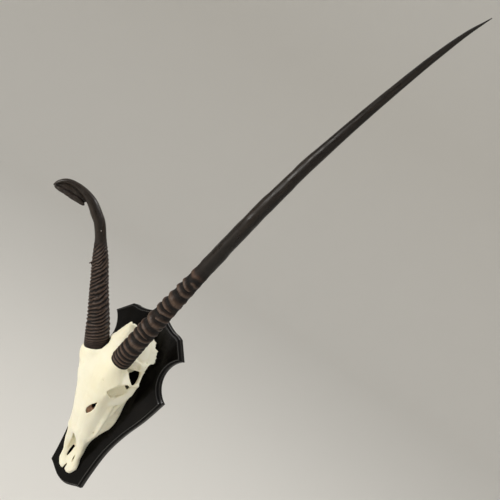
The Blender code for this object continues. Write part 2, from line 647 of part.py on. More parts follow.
def main():
    clear_scene()
    parts = collection("Gemsbok skull mount")
    cutters = collection("Cutters")
    lacquer = material("black lacquer", (0.012, 0.010, 0.009), 0.22)
    bone = material("bleached bone", (0.80, 0.76, 0.62), 0.55)
    dark_horn = material("horn", (0.045, 0.034, 0.028), 0.42)
    deformed = material("horn of the deformed side", (0.042, 0.032, 0.027), 0.48)
    steel = material("zinc-plated steel", (0.55, 0.55, 0.56), 0.35, 1.0)

    pieces = [
        make_plaque(parts, cutters, lacquer),
        make_plate(parts, cutters, steel),
        make_skull(parts, cutters, bone),
        make_long_horn(parts, dark_horn),
        make_deformed_horn(parts, deformed),
    ]
    for name, z in zip(("hanger_screw_top", "hanger_screw_bottom"), HANGER_SCREW_Z):
        pieces.append(make_screw(name, z, -0.0002, HANGER_SCREW_SHANK, HANGER_SCREW_HEAD, HANGER_SCREW_LENGTH, cutters, parts, steel))
    for name, z in zip(("skull_screw_top", "skull_screw_bottom"), SKULL_SCREW_Z):
        pieces.append(make_screw(name, z, -SKULL_SCREW_INSET, SKULL_SCREW_SHANK, SKULL_SCREW_HEAD, SKULL_SCREW_LENGTH, cutters, parts, steel))
    anchor = bpy.data.objects.new("mount", None)
    parts.objects.link(anchor)
    for piece in pieces:
        piece.parent = anchor
        freeze(piece)
        piece.data.shade_smooth()
        piece.data.set_sharp_from_angle(angle=math.radians(35))


main()
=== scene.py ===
"""The looks of the gemsbok skull mount: bleached bone, ringed horn and black lacquer,
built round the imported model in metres, +Z up, the wall on the +Y side."""

import math

import bmesh
import bpy
import numpy as np
from mathutils import Matrix, Vector


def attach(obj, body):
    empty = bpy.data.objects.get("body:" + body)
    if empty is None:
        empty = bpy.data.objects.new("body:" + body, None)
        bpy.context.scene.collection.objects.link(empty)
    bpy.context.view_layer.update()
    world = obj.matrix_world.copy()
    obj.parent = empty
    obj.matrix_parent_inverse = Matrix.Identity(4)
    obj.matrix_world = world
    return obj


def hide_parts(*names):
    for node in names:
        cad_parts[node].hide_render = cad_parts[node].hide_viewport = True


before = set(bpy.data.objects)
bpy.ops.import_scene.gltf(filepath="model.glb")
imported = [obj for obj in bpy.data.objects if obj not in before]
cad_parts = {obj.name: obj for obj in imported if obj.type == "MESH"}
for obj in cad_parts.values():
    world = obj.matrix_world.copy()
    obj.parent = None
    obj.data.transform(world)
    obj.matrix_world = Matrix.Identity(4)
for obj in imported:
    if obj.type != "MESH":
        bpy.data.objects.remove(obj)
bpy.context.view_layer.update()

MM = 0.001
PLAQUE_THICK = 18.0  # millimetres
FACE = PLAQUE_THICK + 0.35  # the skull starts this far from the wall

# ---- noise ------------------------------------------------------------------------------


def lattice(ix, iy, iz, seed):
    n = (ix * 73856093) ^ (iy * 19349663) ^ (iz * 83492791) ^ (seed * 668265263)
    n = ((n ^ (n >> 13)) * 1274126177) & 0xFFFFFFFF
    n = ((n ^ (n >> 15)) * 668265263) & 0xFFFFFFFF
    n ^= n >> 16
    return (n & 0xFFFF).astype(np.float64) / 32767.5 - 1.0


def noise(p, seed=0):
    """Smooth value noise of points (n, 3), from -1 to 1."""
    base = np.floor(p)
    f = p - base
    i = base.astype(np.int64)
    u = f * f * f * (f * (f * 6 - 15) + 10)
    total = 0.0
    for dx in (0, 1):
        wx = u[:, 0] if dx else 1 - u[:, 0]
        for dy in (0, 1):
            wy = u[:, 1] if dy else 1 - u[:, 1]
            for dz in (0, 1):
                wz = u[:, 2] if dz else 1 - u[:, 2]
                total = total + wx * wy * wz * lattice(i[:, 0] + dx, i[:, 1] + dy, i[:, 2] + dz, seed)
    return total


def fbm(p, octaves=3, seed=0, gain=0.5):
    total, size, norm = 0.0, 1.0, 0.0
    for k in range(octaves):
        total = total + size * noise(p * 2.03**k + 17.3 * k, seed + k)
        norm += size
        size *= gain
    return total / norm


def step(a, b, t):
    """0 below a, 1 above b, smooth between."""
    u = np.clip((t - a) / (b - a), 0, 1)
    return u * u * (3 - 2 * u)


# ---- curves ------------------------------------------------------------------------------


def smooth_rows(rows, at):
    """Monotone-safe cubic through rows (k, value...), read at an array of k."""
    rows = np.array(rows, float)
    x, y = rows[:, 0], rows[:, 1:]
    gap = np.diff(x)
    slope = np.diff(y, axis=0) / gap[:, None]
    m = np.zeros_like(y)
    m[1:-1] = np.where(
        slope[:-1] * slope[1:] > 0,
        (gap[1:, None] * slope[:-1] + gap[:-1, None] * slope[1:]) / (gap[1:] + gap[:-1])[:, None],
        0.5 * (slope[:-1] + slope[1:]) * 0.6,
    )
    m[0], m[-1] = slope[0], slope[-1]
    at = np.clip(np.asarray(at, float), x[0], x[-1])
    k = np.clip(np.searchsorted(x, at, side="right") - 1, 0, len(x) - 2)
    u = ((at - x[k]) / gap[k])[:, None]
    h = gap[k][:, None]
    return (
        (2 * u**3 - 3 * u**2 + 1) * y[k]
        + (u**3 - 2 * u**2 + u) * h * m[k]
        + (3 * u**2 - 2 * u**3) * y[k + 1]
        + (u**3 - u**2) * h * m[k + 1]
    )


def closed_curve(points, per=8):
    """Points on a periodic Catmull-Rom curve through an array (n, 2)."""
    p = np.asarray(points, float)
    out = []
    t = np.arange(per)[:, None] / per
    n = len(p)
    for i in range(n):
        a, b, c, d = p[i - 1], p[i], p[(i + 1) % n], p[(i + 2) % n]
        out.append(0.5 * (2 * b + (c - a) * t + (2 * a - 5 * b + 4 * c - d) * t**2 + (3 * b - a - 3 * c + d) * t**3))
    return np.concatenate(out)


# ---- solid fields: negative inside, millimetres --------------------------------------------
# A point is (x to the right, h away from the wall, z up).


def smin(a, b, k):
    if k <= 0:
        return np.minimum(a, b)
    w = np.maximum(k - np.abs(a - b), 0.0) / k
    return np.minimum(a, b) - w * w * k * 0.25


def smax(a, b, k):
    return -smin(-a, -b, k)


class Clay:
    """A grid of distances that shapes are added to and cut from."""

    def __init__(self, low, high, pitch):
        self.pitch = pitch
        self.axes = [np.arange(a, b + pitch, pitch, dtype=np.float32) for a, b in zip(low, high)]
        self.field = np.full([len(a) for a in self.axes], 50.0, np.float32)

    def window(self, low, high):
        cut = tuple(
            slice(max(int(np.searchsorted(axis, lo)) - 1, 0), int(np.searchsorted(axis, hi)) + 1)
            for axis, lo, hi in zip(self.axes, low, high)
        )
        x = self.axes[0][cut[0]][:, None, None]
        h = self.axes[1][cut[1]][None, :, None]
        z = self.axes[2][cut[2]][None, None, :]
        return cut, x, h, z

    def add(self, shape, blend=3.0, pad=6.0):
        low, high, distance = shape
        cut, x, h, z = self.window([v - blend - pad for v in low], [v + blend + pad for v in high])
        self.field[cut] = smin(self.field[cut], distance(x, h, z), blend)

    def cut(self, shape, blend=2.0, pad=4.0):
        low, high, distance = shape
        cut, x, h, z = self.window([v - blend - pad for v in low], [v + blend + pad for v in high])
        self.field[cut] = smax(self.field[cut], -distance(x, h, z), blend)

    def sample(self, points, field=None):
        """The field, or an earlier copy of it, at points (n, 3), trilinear."""
        field = self.field if field is None else field
        index, weight = [], []
        for k in range(3):
            t = (points[:, k] - self.axes[k][0]) / self.pitch
            i = np.clip(np.floor(t).astype(int), 0, len(self.axes[k]) - 2)
            index.append(i)
            weight.append(np.clip(t - i, 0, 1))
        total = 0.0
        for a in (0, 1):
            for b in (0, 1):
                for c in (0, 1):
                    w = 1.0
                    for bit, wt in zip((a, b, c), weight):
                        w = w * (wt if bit else 1 - wt)
                    total = total + w * field[index[0] + a, index[1] + b, index[2] + c]
        return total

    def normals(self, points):
        e = self.pitch
        grad = np.stack(
            [self.sample(points + np.eye(3)[k] * e) - self.sample(points - np.eye(3)[k] * e) for k in range(3)], 1
        )
        return grad / np.maximum(np.linalg.norm(grad, axis=1)[:, None], 1e-9)

    def skin(self):
        """Surface nets: (vertices, quads) of the zero surface."""
        f = self.field
        inside = f < 0
        corner = [inside[a : a - 1 or None, b : b - 1 or None, c : c - 1 or None] for a in (0, 1) for b in (0, 1) for c in (0, 1)]
        count = sum(c.astype(np.int8) for c in corner)
        active = (count > 0) & (count < 8)
        cells = np.argwhere(active)
        number = np.full(active.shape, -1, np.int32)
        number[tuple(cells.T)] = np.arange(len(cells))
        total = np.zeros((len(cells), 3))
        hits = np.zeros(len(cells))
        offsets = np.array([(a, b, c) for a in (0, 1) for b in (0, 1) for c in (0, 1)])
        values = np.stack([f[tuple((cells + o).T)] for o in offsets], 1)
        for i in range(8):
            for j in range(i + 1, 8):
                step_ = offsets[j] - offsets[i]
                if np.abs(step_).sum() != 1:
                    continue
                a, b = values[:, i], values[:, j]
                cross = (a < 0) != (b < 0)
                t = np.where(cross, a / np.where(np.abs(a - b) < 1e-12, 1, a - b), 0)
                total += np.where(cross[:, None], offsets[i] + t[:, None] * step_, 0)
                hits += cross
        local = total / hits[:, None]
        origin = np.array([a[0] for a in self.axes])
        vertices = origin + (cells + local) * self.pitch
        quads = []
        for axis in range(3):
            u, v = (axis + 1) % 3, (axis + 2) % 3
            sl = [slice(None)] * 3
            a = inside[tuple(slice(0, -1) if k == axis else slice(None) for k in range(3))]
            b = inside[tuple(slice(1, None) if k == axis else slice(None) for k in range(3))]
            edge = np.argwhere(a != b)
            keep = (edge[:, u] > 0) & (edge[:, v] > 0) & (edge[:, u] < f.shape[u] - 1) & (edge[:, v] < f.shape[v] - 1)
            edge = edge[keep]
            flip = a[tuple(edge.T)]
            def cell(du, dv):
                e = edge.copy()
                e[:, u] += du
                e[:, v] += dv
                return number[tuple(e.T)]
            quad = np.stack([cell(-1, -1), cell(0, -1), cell(0, 0), cell(-1, 0)], 1)
            quad[~flip] = quad[~flip][:, ::-1]
            quads.append(quad)
        quads = np.concatenate(quads)
        return vertices, quads[(quads >= 0).all(1)]


def ball(centre, radii, turn=(0, 0, 0)):
    """An ellipsoid; turn is in degrees about x, h and z."""
    c = np.array(centre, float)
    r = np.array(radii, float)
    a, b, g = (math.radians(v) for v in turn)
    rx = np.array([[1, 0, 0], [0, math.cos(a), -math.sin(a)], [0, math.sin(a), math.cos(a)]])
    rh = np.array([[math.cos(b), 0, math.sin(b)], [0, 1, 0], [-math.sin(b), 0, math.cos(b)]])
    rz = np.array([[math.cos(g), -math.sin(g), 0], [math.sin(g), math.cos(g), 0], [0, 0, 1]])
    m = rz @ rh @ rx  # columns are the ellipsoid's own axes
    reach = np.sqrt(((m * r) ** 2).sum(1))

    def distance(x, h, z):
        p = [x - c[0], h - c[1], z - c[2]]
        q = [sum(m[k][i] * p[k] for k in range(3)) / r[i] for i in range(3)]
        k0 = np.sqrt(q[0] ** 2 + q[1] ** 2 + q[2] ** 2) + 1e-6
        k1 = np.sqrt((q[0] / r[0]) ** 2 + (q[1] / r[1]) ** 2 + (q[2] / r[2]) ** 2) + 1e-9
        return (k0 * (k0 - 1) / k1).astype(np.float32)

    return c - reach, c + reach, distance


def bar(points, radii, flat=1.0, flat_dir=(1, 0, 0), steps=5):
    """A rounded bar along points with a radius at each; flat < 1 thins it along flat_dir."""
    n = len(points) - 1
    dense, thick = [], []
    p = np.array(points, float)
    r = np.array(radii, float)
    for i in range(n * steps + 1):
        t = i / steps
        k = min(int(t), n - 1)
        u = t - k
        q = [p[min(max(k + j, 0), n)] for j in (-1, 0, 1, 2)]
        dense.append(0.5 * (2 * q[1] + (q[2] - q[0]) * u + (2 * q[0] - 5 * q[1] + 4 * q[2] - q[3]) * u * u + (3 * q[1] - q[0] - 3 * q[2] + q[3]) * u**3))
        thick.append(r[k] * (1 - u) + r[k + 1] * u)
    dense, thick = np.array(dense), np.array(thick)
    fd = np.array(flat_dir, float)
    fd /= np.linalg.norm(fd)
    low, high = dense.min(0) - thick.max(), dense.max(0) + thick.max()

    def distance(x, h, z):
        best = None
        for a, b, ra, rb in zip(dense, dense[1:], thick, thick[1:]):
            d = b - a
            length = float(d @ d) or 1e-9
            t = np.clip(((x - a[0]) * d[0] + (h - a[1]) * d[1] + (z - a[2]) * d[2]) / length, 0, 1)
            q = [x - a[0] - t * d[0], h - a[1] - t * d[1], z - a[2] - t * d[2]]
            if flat != 1.0:
                along = (q[0] * fd[0] + q[1] * fd[1] + q[2] * fd[2]) * (1 / flat - 1)
                q = [q[k] + along * fd[k] for k in range(3)]
            dist = np.sqrt(q[0] ** 2 + q[1] ** 2 + q[2] ** 2) - (ra + (rb - ra) * t)
            if flat != 1.0:
                dist = dist * min(0.5 + 0.5 * flat, 1.0)
            best = dist if best is None else np.minimum(best, dist)
        return best.astype(np.float32)

    return low, high, distance


def prism(corners, towards, before, behind):
    """A straight channel along a direction, with the polygon of corners as its cross-section. It runs
    from so many millimetres before the middle of the corners to so many behind it."""
    c = np.array(corners, float)
    d = np.array(towards, float)
    d /= np.linalg.norm(d)
    e = np.cross(d, [0, 0, 1.0])
    e /= np.linalg.norm(e)
    f = np.cross(d, e)
    middle = c.mean(0)
    q = np.stack([(c - middle) @ e, (c - middle) @ f], 1)
    rim = middle + q[:, :1] * e + q[:, 1:] * f
    ends = np.concatenate([rim - d * before, rim + d * behind])

    def distance(x, h, z):
        p = (x - middle[0], h - middle[1], z - middle[2])
        u, v, t = (sum(p[k] * axis[k] for k in range(3)).astype(np.float32) for axis in (e, f, d))
        best = None
        odd = np.zeros(u.shape, bool)
        for (ax, ay), (bx, by) in zip(q, np.roll(q, -1, 0)):
            dx, dy = bx - ax, by - ay
            w = np.clip(((u - ax) * dx + (v - ay) * dy) / (dx * dx + dy * dy + 1e-9), 0, 1)
            d2 = (u - ax - w * dx) ** 2 + (v - ay - w * dy) ** 2
            best = d2 if best is None else np.minimum(best, d2)
            if ay != by:
                odd ^= ((ay > v) != (by > v)) & (u < dx * (v - ay) / dy + ax)
        side = np.where(odd, -np.sqrt(best), np.sqrt(best))
        return np.maximum(side, np.maximum(-(t + before), t - behind)).astype(np.float32)

    return ends.min(0), ends.max(0), distance


def both(one, other):
    """What two shapes share."""

    def distance(x, h, z):
        return np.maximum(one[2](x, h, z), other[2](x, h, z))

    return np.maximum(one[0], other[0]), np.minimum(one[1], other[1]), distance


def relax(vertices, quads, rounds=2, keep=None):
    """Taubin smoothing of a quad mesh."""
    edges = np.concatenate([quads[:, [0, 1]], quads[:, [1, 2]], quads[:, [2, 3]], quads[:, [3, 0]]])
    edges = np.concatenate([edges, edges[:, ::-1]])
    count = np.bincount(edges[:, 0], minlength=len(vertices))[:, None]
    for k in range(2 * rounds):
        total = np.stack([np.bincount(edges[:, 0], vertices[edges[:, 1], c], len(vertices)) for c in range(3)], 1)
        change = total / np.maximum(count, 1) - vertices
        vertices = vertices + (0.55 if k % 2 == 0 else -0.57) * change
    return vertices


def largest_piece(vertices, faces):
    """Drops any crumbs that aren't joined to the main body."""
    label = np.arange(len(vertices))
    edges = np.concatenate([faces[:, [k, (k + 1) % faces.shape[1]]] for k in range(faces.shape[1])])
    while True:
        low = np.minimum(label[edges[:, 0]], label[edges[:, 1]])
        new = label.copy()
        np.minimum.at(new, edges[:, 0], low)
        np.minimum.at(new, edges[:, 1], low)
        new = new[new]
        if (new == label).all():
            break
        label = new
    main = np.bincount(label).argmax()
    keep = label == main
    index = np.cumsum(keep) - 1
    faces = faces[keep[faces[:, 0]]]
    return vertices[keep], index[faces], keep


def make_mesh(name, points_mm, faces, smooth=True, attributes=None):
    """A mesh object from points (x, h, z) in millimetres; h is away from the wall."""
    co = np.asarray(points_mm, float)
    co = np.stack([co[:, 0], -co[:, 1], co[:, 2]], 1) * MM
    faces = np.asarray(faces)[:, ::-1]  # the h axis points the other way, so the winding turns over
    mesh = bpy.data.meshes.new(name)
    mesh.vertices.add(len(co))
    mesh.vertices.foreach_set("co", co.ravel())
    side = faces.shape[1]
    mesh.loops.add(faces.size)
    mesh.loops.foreach_set("vertex_index", faces.ravel())
    mesh.polygons.add(len(faces))
    mesh.polygons.foreach_set("loop_start", np.arange(len(faces)) * side)
    mesh.polygons.foreach_set("loop_total", np.full(len(faces), side))
    mesh.update(calc_edges=True)
    mesh.validate()
    for key, values in (attributes or {}).items():
        layer = mesh.attributes.new(key, "FLOAT", "POINT")
        layer.data.foreach_set("value", np.asarray(values, np.float32))
    obj = bpy.data.objects.new(name, mesh)
    bpy.context.scene.collection.objects.link(obj)
    if smooth:
        mesh.shade_smooth()
    return obj

# ---- the skull --------------------------------------------------------------------------
# Half sections of the head, each z with (half width, height over the wall) from the midline
# of the face round the side to the sawn edge.
SECTIONS = (
    (-203, (0, 22), (3, 22.5), (8, 23), (12, 22.5), (15, 20.5), (16.5, 17), (16, 14), (13, 8)),
    (-198, (0, 24), (5, 25), (10.5, 26), (16, 25.5), (19.5, 22.5), (20, 18), (18.5, 14), (16, 8)),
    (-193, (0, 25), (6, 26.5), (12, 27.5), (19, 27), (22.6, 22.5), (22.5, 18), (21, 14), (18, 8)),
    (-184, (0, 25), (7, 27), (15, 29), (23, 29), (28, 23), (27, 18), (25, 14), (22, 8)),
    (-175, (0, 25.5), (7, 27.5), (15, 30), (23, 30.5), (28, 24), (26.5, 18), (24.5, 14), (22, 8)),
    (-165, (0, 26), (8, 28), (16, 32.5), (22.5, 33.5), (27, 27), (24.5, 19), (22, 14), (20, 8)),
    (-158, (0, 28), (8, 30), (16, 34.5), (21.5, 36), (25.6, 32), (22.5, 21), (20, 14), (18, 8)),
    (-143, (0, 37), (8, 38), (16, 41), (22.5, 43), (28, 38), (22.5, 23), (19, 14), (17, 8)),
    (-125, (0, 46), (6, 47), (13, 49.5), (21, 52), (29.5, 46), (25, 34), (20, 22), (17, 8)),
    (-108, (0, 58), (6, 59.5), (14, 61), (22, 60), (29.5, 52), (27, 40), (22, 26), (19, 8)),
    (-98, (0, 68), (7, 68.8), (14, 68), (22, 66), (30, 58), (32, 44), (26, 26), (22, 8)),
    (-92, (0, 72.5), (8, 73), (14.5, 71.5), (21.5, 70), (31, 62), (37, 46), (29, 25), (25, 8)),
    (-75, (0, 79), (9, 79.5), (16, 77.5), (23, 74.5), (32, 66), (38, 50), (38, 30), (35, 8)),
    (-48, (0, 91), (9, 91.3), (16, 89.5), (24, 85), (34, 75), (42, 57), (48, 36), (46, 8)),
    (-15, (0, 103), (10, 103.4), (18, 102), (27, 98.5), (38, 89), (46, 69), (50, 42), (48, 8)),
    (15, (0, 113.6), (12, 114.2), (24, 112.5), (35, 108), (43, 99), (47, 76), (49, 44), (47, 8)),
    (40, (0, 121), (14, 122.3), (27, 122.6), (40, 118), (50.5, 110), (50, 90), (46, 50), (44, 8)),
    (62, (0, 127.6), (16, 128.6), (31, 130), (48, 122), (63, 108.5), (52, 94), (44, 52), (42, 8)),
    (82, (0, 131), (18, 132), (35, 133), (50, 124), (62, 108.5), (48, 96), (40, 54), (38, 8)),
    (102, (0, 132.6), (20, 134), (36, 136), (48, 128), (55, 114), (43, 92), (38, 58), (36, 8)),
    (122, (0, 130), (18, 131), (32, 130), (43, 119), (48, 106), (44, 84), (42, 56), (44, 8)),
    (142, (0, 123), (10, 122.2), (20, 118.5), (29, 105), (37, 88), (43, 66), (48, 44), (50, 8)),
    (160, (0, 114), (8, 112.6), (15, 108), (22, 94), (29.5, 77), (36, 60), (43, 44), (51, 8)),
    (176, (0, 107), (5, 105.6), (10, 102.4), (16, 90), (22.5, 77), (30, 58), (36.5, 44), (47, 8)),
    (190, (0, 102), (4, 100.8), (7, 97), (12.5, 86), (18, 73), (25, 57), (31, 44), (40, 8)),
    (206, (0, 94), (3, 92.6), (5, 90), (9, 82), (13, 70), (19, 54), (25, 42), (33, 8)),
)
LEAN_OF_MUZZLE = ((-210, -1.6), (-185, -1.5), (-160, -1.1), (-130, -0.3), (-100, 0.0), (210, 0.0))
PITCH = 1.54

LONG_BASE = np.array([39.3, 117.0, 123.2])
DEFORMED_BASE = np.array([-40.0, 117.5, 118.5])
LONG_AXIS = np.array([0.355, 0.27, 1.0]) / np.linalg.norm([0.355, 0.27, 1.0])
DEFORMED_AXIS = np.array([-0.345, 0.29, 0.94]) / np.linalg.norm([-0.345, 0.29, 0.94])


def section_field(clay):
    """Lays the smooth head of SECTIONS into the grid."""
    xs, hs, zs = clay.axes
    rows = [(z, *[v for pt in half for v in pt]) for z, *half in SECTIONS]
    values = smooth_rows(rows, zs)
    lean = smooth_rows(LEAN_OF_MUZZLE, zs)[:, 0]
    for k, row in enumerate(values):
        half = row.reshape(-1, 2)
        left = half[:0:-1] * [-1, 1]
        curve = closed_curve(np.concatenate([half, [[0.0, 4.0]], left]), 6)
        keep = curve[:, 0] > -2.5  # the right half, and a little past the midline
        a, b = curve, np.roll(curve, -1, 0)
        near = keep & (b[:, 0] > -2.5)
        px = np.abs(xs - lean[k])[:, None].astype(np.float32)
        ph = hs[None, :].astype(np.float32)
        best = np.full((len(xs), len(hs)), 1e9, np.float32)
        odd = np.zeros((len(xs), len(hs)), bool)
        for (ax, ah), (bx, bh) in zip(a[near], b[near]):
            dx, dh = bx - ax, bh - ah
            t = np.clip(((px - ax) * dx + (ph - ah) * dh) / (dx * dx + dh * dh + 1e-9), 0, 1)
            best = np.minimum(best, (px - ax - t * dx) ** 2 + (ph - ah - t * dh) ** 2)
        for (ax, ah), (bx, bh) in zip(a, b):
            if (ah > 200) or ah == bh:
                continue
            over = (ah > ph) != (bh > ph)
            odd ^= over & (px < (bx - ax) * (ph - ah) / (bh - ah) + ax)
        best = np.sqrt(best)
        clay.field[:, :, k] = np.where(odd, -best, best)
    x, h, z = (v.astype(np.float32) for v in (xs[:, None, None], hs[None, :, None], zs[None, None, :]))
    clay.field = smax(clay.field, -(z + 201.5) + 0.02 * (x - lean.astype(np.float32)[None, None, :]) ** 2, 5.0)
    # the flat back of the head, leaning out towards the crest, hollow in the middle
    back = z - (178.5 + (h - 45) * 0.355) + 0.0075 * x * x + 0.0 * h
    clay.field = smax(clay.field, back.astype(np.float32), 4.0)


def build_skull():
    clay = Clay((-80, 12, -210), (82, 152, 208), PITCH)
    section_field(clay)
    add, cut = clay.add, clay.cut

    for s in (1, -1):

        def at(points):
            return [(s * x, h, z) for x, h, z in points]

        # premaxillae: rounded tips
        add(ball((s * 12 - 1.5, 20, -188), (11, 8.5, 14), (0, s * 4, 0)), 5)
        # swelling over the cheek teeth and the facial ridge above it
        add(ball((s * 34, 34, -18), (13.5, 29, 56), (-8, 0, 0)), 7)
        add(bar(at([(35, 47, -92), (39.5, 50, -78), (43, 55, -58), (46, 60, -36), (47, 64, -12), (49, 66, 6)]), (0.2, 0.5, 0.9, 1.3, 1.8, 2.6)), 12)
        for x, h, z, r in ((41.5, 33, -58, 6.5), (45, 33, -43, 7.0), (47.5, 34, -27, 6.5), (48, 35, -11, 5.5), (36, 34, -72, 5.0)):
            add(ball((s * x, h, z), (r, 12, 5.2), (0, s * 8, 0)), 6)
        # swelling of the brow under each horn, carried up inside the sheath
        base, axis, r0 = (LONG_BASE, LONG_AXIS, 22.8) if s > 0 else (DEFORMED_BASE - DEFORMED_AXIS * 6.0, DEFORMED_AXIS, 27.2)
        add(bar([base + axis * t for t in (-36, -24, -13, -7, 0, 6)], [r0 + v for v in (-3.5, -1.0, 0.2, -1.3, -2.8, -6)]), 6)
        # ear bulb, the process beside it and the knuckle for the neck
        add(ball((s * 42, 25, 140), (12, 12, 15)), 6)
        add(ball((s * 33, 23, 162), (9, 9, 10)), 6)
        add(ball((s * 14.5, 31, 180), (8.5, 14, 8.5), (20, 0, s * 18)), 3.5)
    # the heavier swelling in front of the deformed horn
    add(ball((-53, 117, 90), (12.5, 14, 25), (0, -8, 0)), 9)

    for s in (1, -1):

        def at(points):
            return [(s * x, h, z) for x, h, z in points]

        view = (s * -0.486, -0.819, -0.305)
        hole = prism(at([(44.3, 70, 91.4), (44.0, 70, 94.9), (53.0, 70, 102.2), (61.2, 70, 105.8), (66.5, 70, 106.4), (69.1, 70, 104.3), (71.3, 70, 96.4), (71.2, 70, 87.7), (70.1, 70, 80.4), (67.9, 70, 77.0), (64.3, 70, 77.2), (57.4, 70, 81.2), (50.4, 70, 86.0)]), view, 34, 78)
        # temporal hollow behind the socket, and the way through it down to the board
        cut(ball((s * 63, 58, 92), (16, 32, 13), (4, 0, s * 10)), 4)
        cut(ball((s * 40, 30, 78), (20, 24, 20)), 4)
        # long shallow hollow along the braincase behind the horn
        cut(ball((s * 66, 108, 152), (24, 34, 30), (0, 0, s * 24)), 10)

        # forehead plate that runs out and down to the brow, then the bar behind the socket
        add(bar(at([(48, 110, 74), (55, 105, 80), (62, 99, 83), (67, 92, 82)]), (21, 20, 16, 11), 0.30, (s * 0.55, 0.83, 0.05)), 5)
        add(bar(at([(48, 110, 88), (55, 103.5, 94), (60, 96, 96)]), (13, 11, 7), 0.34, (s * 0.55, 0.83, 0.05)), 5)
        add(bar(at([(38, 106, 30), (42, 105, 38), (47.5, 104, 49), (55, 103, 60), (62, 100, 70), (67, 94.5, 76.5), (69.5, 87, 79)]), (4.5, 4.2, 4.2, 4.2, 4.2, 4.0, 4.0)), 4)
        add(bar(at([(69, 91, 79), (70.3, 82, 79), (70.5, 73, 77.5), (70, 64, 77), (69.5, 56, 78)]), (4.4, 3.6, 3.6, 4.4, 5)), 4)
        # cheek bone: a broad face under the socket, drawn out behind into the arch
        add(bar(at([(43, 82, 16), (49, 75, 22), (55, 68, 29), (60.0, 63, 39), (63.6, 61, 50), (66.0, 60.5, 62), (67.6, 61, 73)]), (10, 12, 13.5, 13.5, 12.5, 10.5, 7.5), 0.34, (s * 0.93, 0.32, -0.18)), 5)
        add(bar(at([(45, 50, -12), (49, 53, 6), (54, 53, 20), (60, 53, 38), (63.5, 53, 58), (64.8, 52.5, 74), (64.4, 52, 86), (62.4, 51, 95), (60.4, 50, 104), (59, 47, 114), (59, 44, 124)]), (7, 6.5, 5.5, 5, 5.0, 4.9, 4.5, 4.3, 4.6, 5.8, 8)), 4)
        # shelf at the back of the temporal hollow, with a dish in it and its raised curl
        add(bar(at([(38, 84, 116), (48, 77, 117), (56, 67, 117), (61, 57, 115)]), (14, 12, 10, 8), 0.42, (s * 0.5, 0.85, -0.15)), 5)
        cut(ball((s * 58.5, 73, 116.0), (6.5, 6.0, 6.5), (0, 0, s * 10)), 3)
        add(bar(at([(47.0, 78, 118.5), (52.5, 77, 124.0), (58.0, 74, 126.6), (60.6, 68, 124.6), (61.8, 62, 119.6), (61.4, 57, 113.5), (62.0, 53, 106)]), (1.3, 1.7, 2.0, 2.1, 2.1, 2.4, 2.6)), 4)
        add(ball((s * 61, 56, 122), (5.5, 8, 9), (0, 0, s * 12)), 5)
        lean = 0 if s > 0 else 6.0
        # side of the braincase, out to the edge of the nape
        add(bar(at([(45 - lean, 70 - lean, 126), (46 - lean, 66 - lean, 138), (43 - lean, 66 - lean, 152), (36 - lean, 70 - lean, 166), (28 - lean, 74 - lean, 176)]), (15, 16, 16, 14, 11), 0.40, (s * 0.78, 0.58, 0.22)), 7)
        add(bar(at([(55 - lean, 46, 122), (56 - lean, 42, 134), (54 - lean, 42, 146), (48 - lean, 46, 160), (39 - lean, 53, 173)]), (14, 16, 16, 14, 10), 0.36, (s * 0.86, 0.46, 0.22)), 7)
        # crest of the nape: from the peak down both sides to the ear
        add(bar(at([(0, 99, 193), (5.5, 96, 191.5), (11.5, 88, 189.5), (17.5, 77, 187.5), (24 - lean / 3, 65, 184.5), (31 - lean / 2, 54, 180), (37.5 - lean / 2, 45, 174.5), (44 - lean / 2, 38, 167), (50.5 - lean / 2, 33, 158), (55 - lean / 2, 29, 147), (57 - lean / 2, 25, 137)]), (2.6, 2.8, 3, 3, 3.2, 3.4, 3.8, 4.4, 5.2, 5.8, 6.4)), 6)

        # the bent sheath stands clear of the bone above its rim
        if s < 0:
            base, axis, r0 = DEFORMED_BASE, DEFORMED_AXIS, 27.2
            one = np.cross(axis, (1, 0, 0))
            one = one / np.linalg.norm(one)
            two = np.cross(axis, one)
            circle = [base + (r0 + 2.2) * (one * math.cos(a) + two * math.sin(a)) for a in np.linspace(0, 2 * np.pi, 28, endpoint=False)]
            cut(prism(circle, axis, 8.0, 46), 4)
            cut(prism([(-30.7, 118, 103.5), (-21.4, 118, 113.0), (-14.8, 118, 123.3), (-10.6, 118, 133.8), (-11.6, 118, 143.7), (-16.4, 118, 149.9), (-28.8, 118, 159.7), (-56.9, 118, 136.7)], (-0.535, -0.795, -0.286), 40, 12), 5)
            add(bar([base + axis * t for t in (-42, -30, -19, -13, -6, 0)], [r0 + v for v in (-3.5, -1.0, 0.2, -1.3, -2.8, -6)]), 2)

        # bone behind the eye
        add(ball((s * 49, 67, 56), (17, 15, 21), (0, 0, -s * 14)), 4)
        if s > 0:
            whole = clay.field.copy()
        # eye socket: a cup whose mouth is the rim of brow, bar and cheek bone
        mouth = prism(at([(39.4, 101, 41.0), (43.4, 101, 48.9), (48.2, 101, 55.5), (55.8, 100, 65.9), (61.4, 97, 72.2), (64.3, 92, 75.5), (66.8, 86, 77.0), (68.6, 80, 74.6), (68.2, 75, 68.4), (66.3, 71, 59.3), (60.5, 75, 47.7), (52.2, 80, 38.3), (47.7, 88, 31.9), (42.7, 93, 33.6)]), (s * -0.481, -0.816, -0.322), 30, 60)
        cut(both(mouth, ball((s * 62, 96, 55), (30, 23, 30), (0, 0, -s * 14))), 2.2)
        cut(hole, 2.2)
        # opening at the back of the socket, with a crack below it
        cut(prism(at([(59.5, 84, 71.5), (66.4, 84, 76.3), (70.6, 84, 75.2), (70.6, 84, 72.0), (68.1, 84, 67.3), (64.2, 84, 69.3)]), (s * -0.481, -0.815, -0.323), 1, 66), 1.2)
        cut(bar(at([(62, 74, 63), (64.5, 72, 60.5), (63, 71, 57)]), (1.3, 1.2, 0.8)), 1.2)
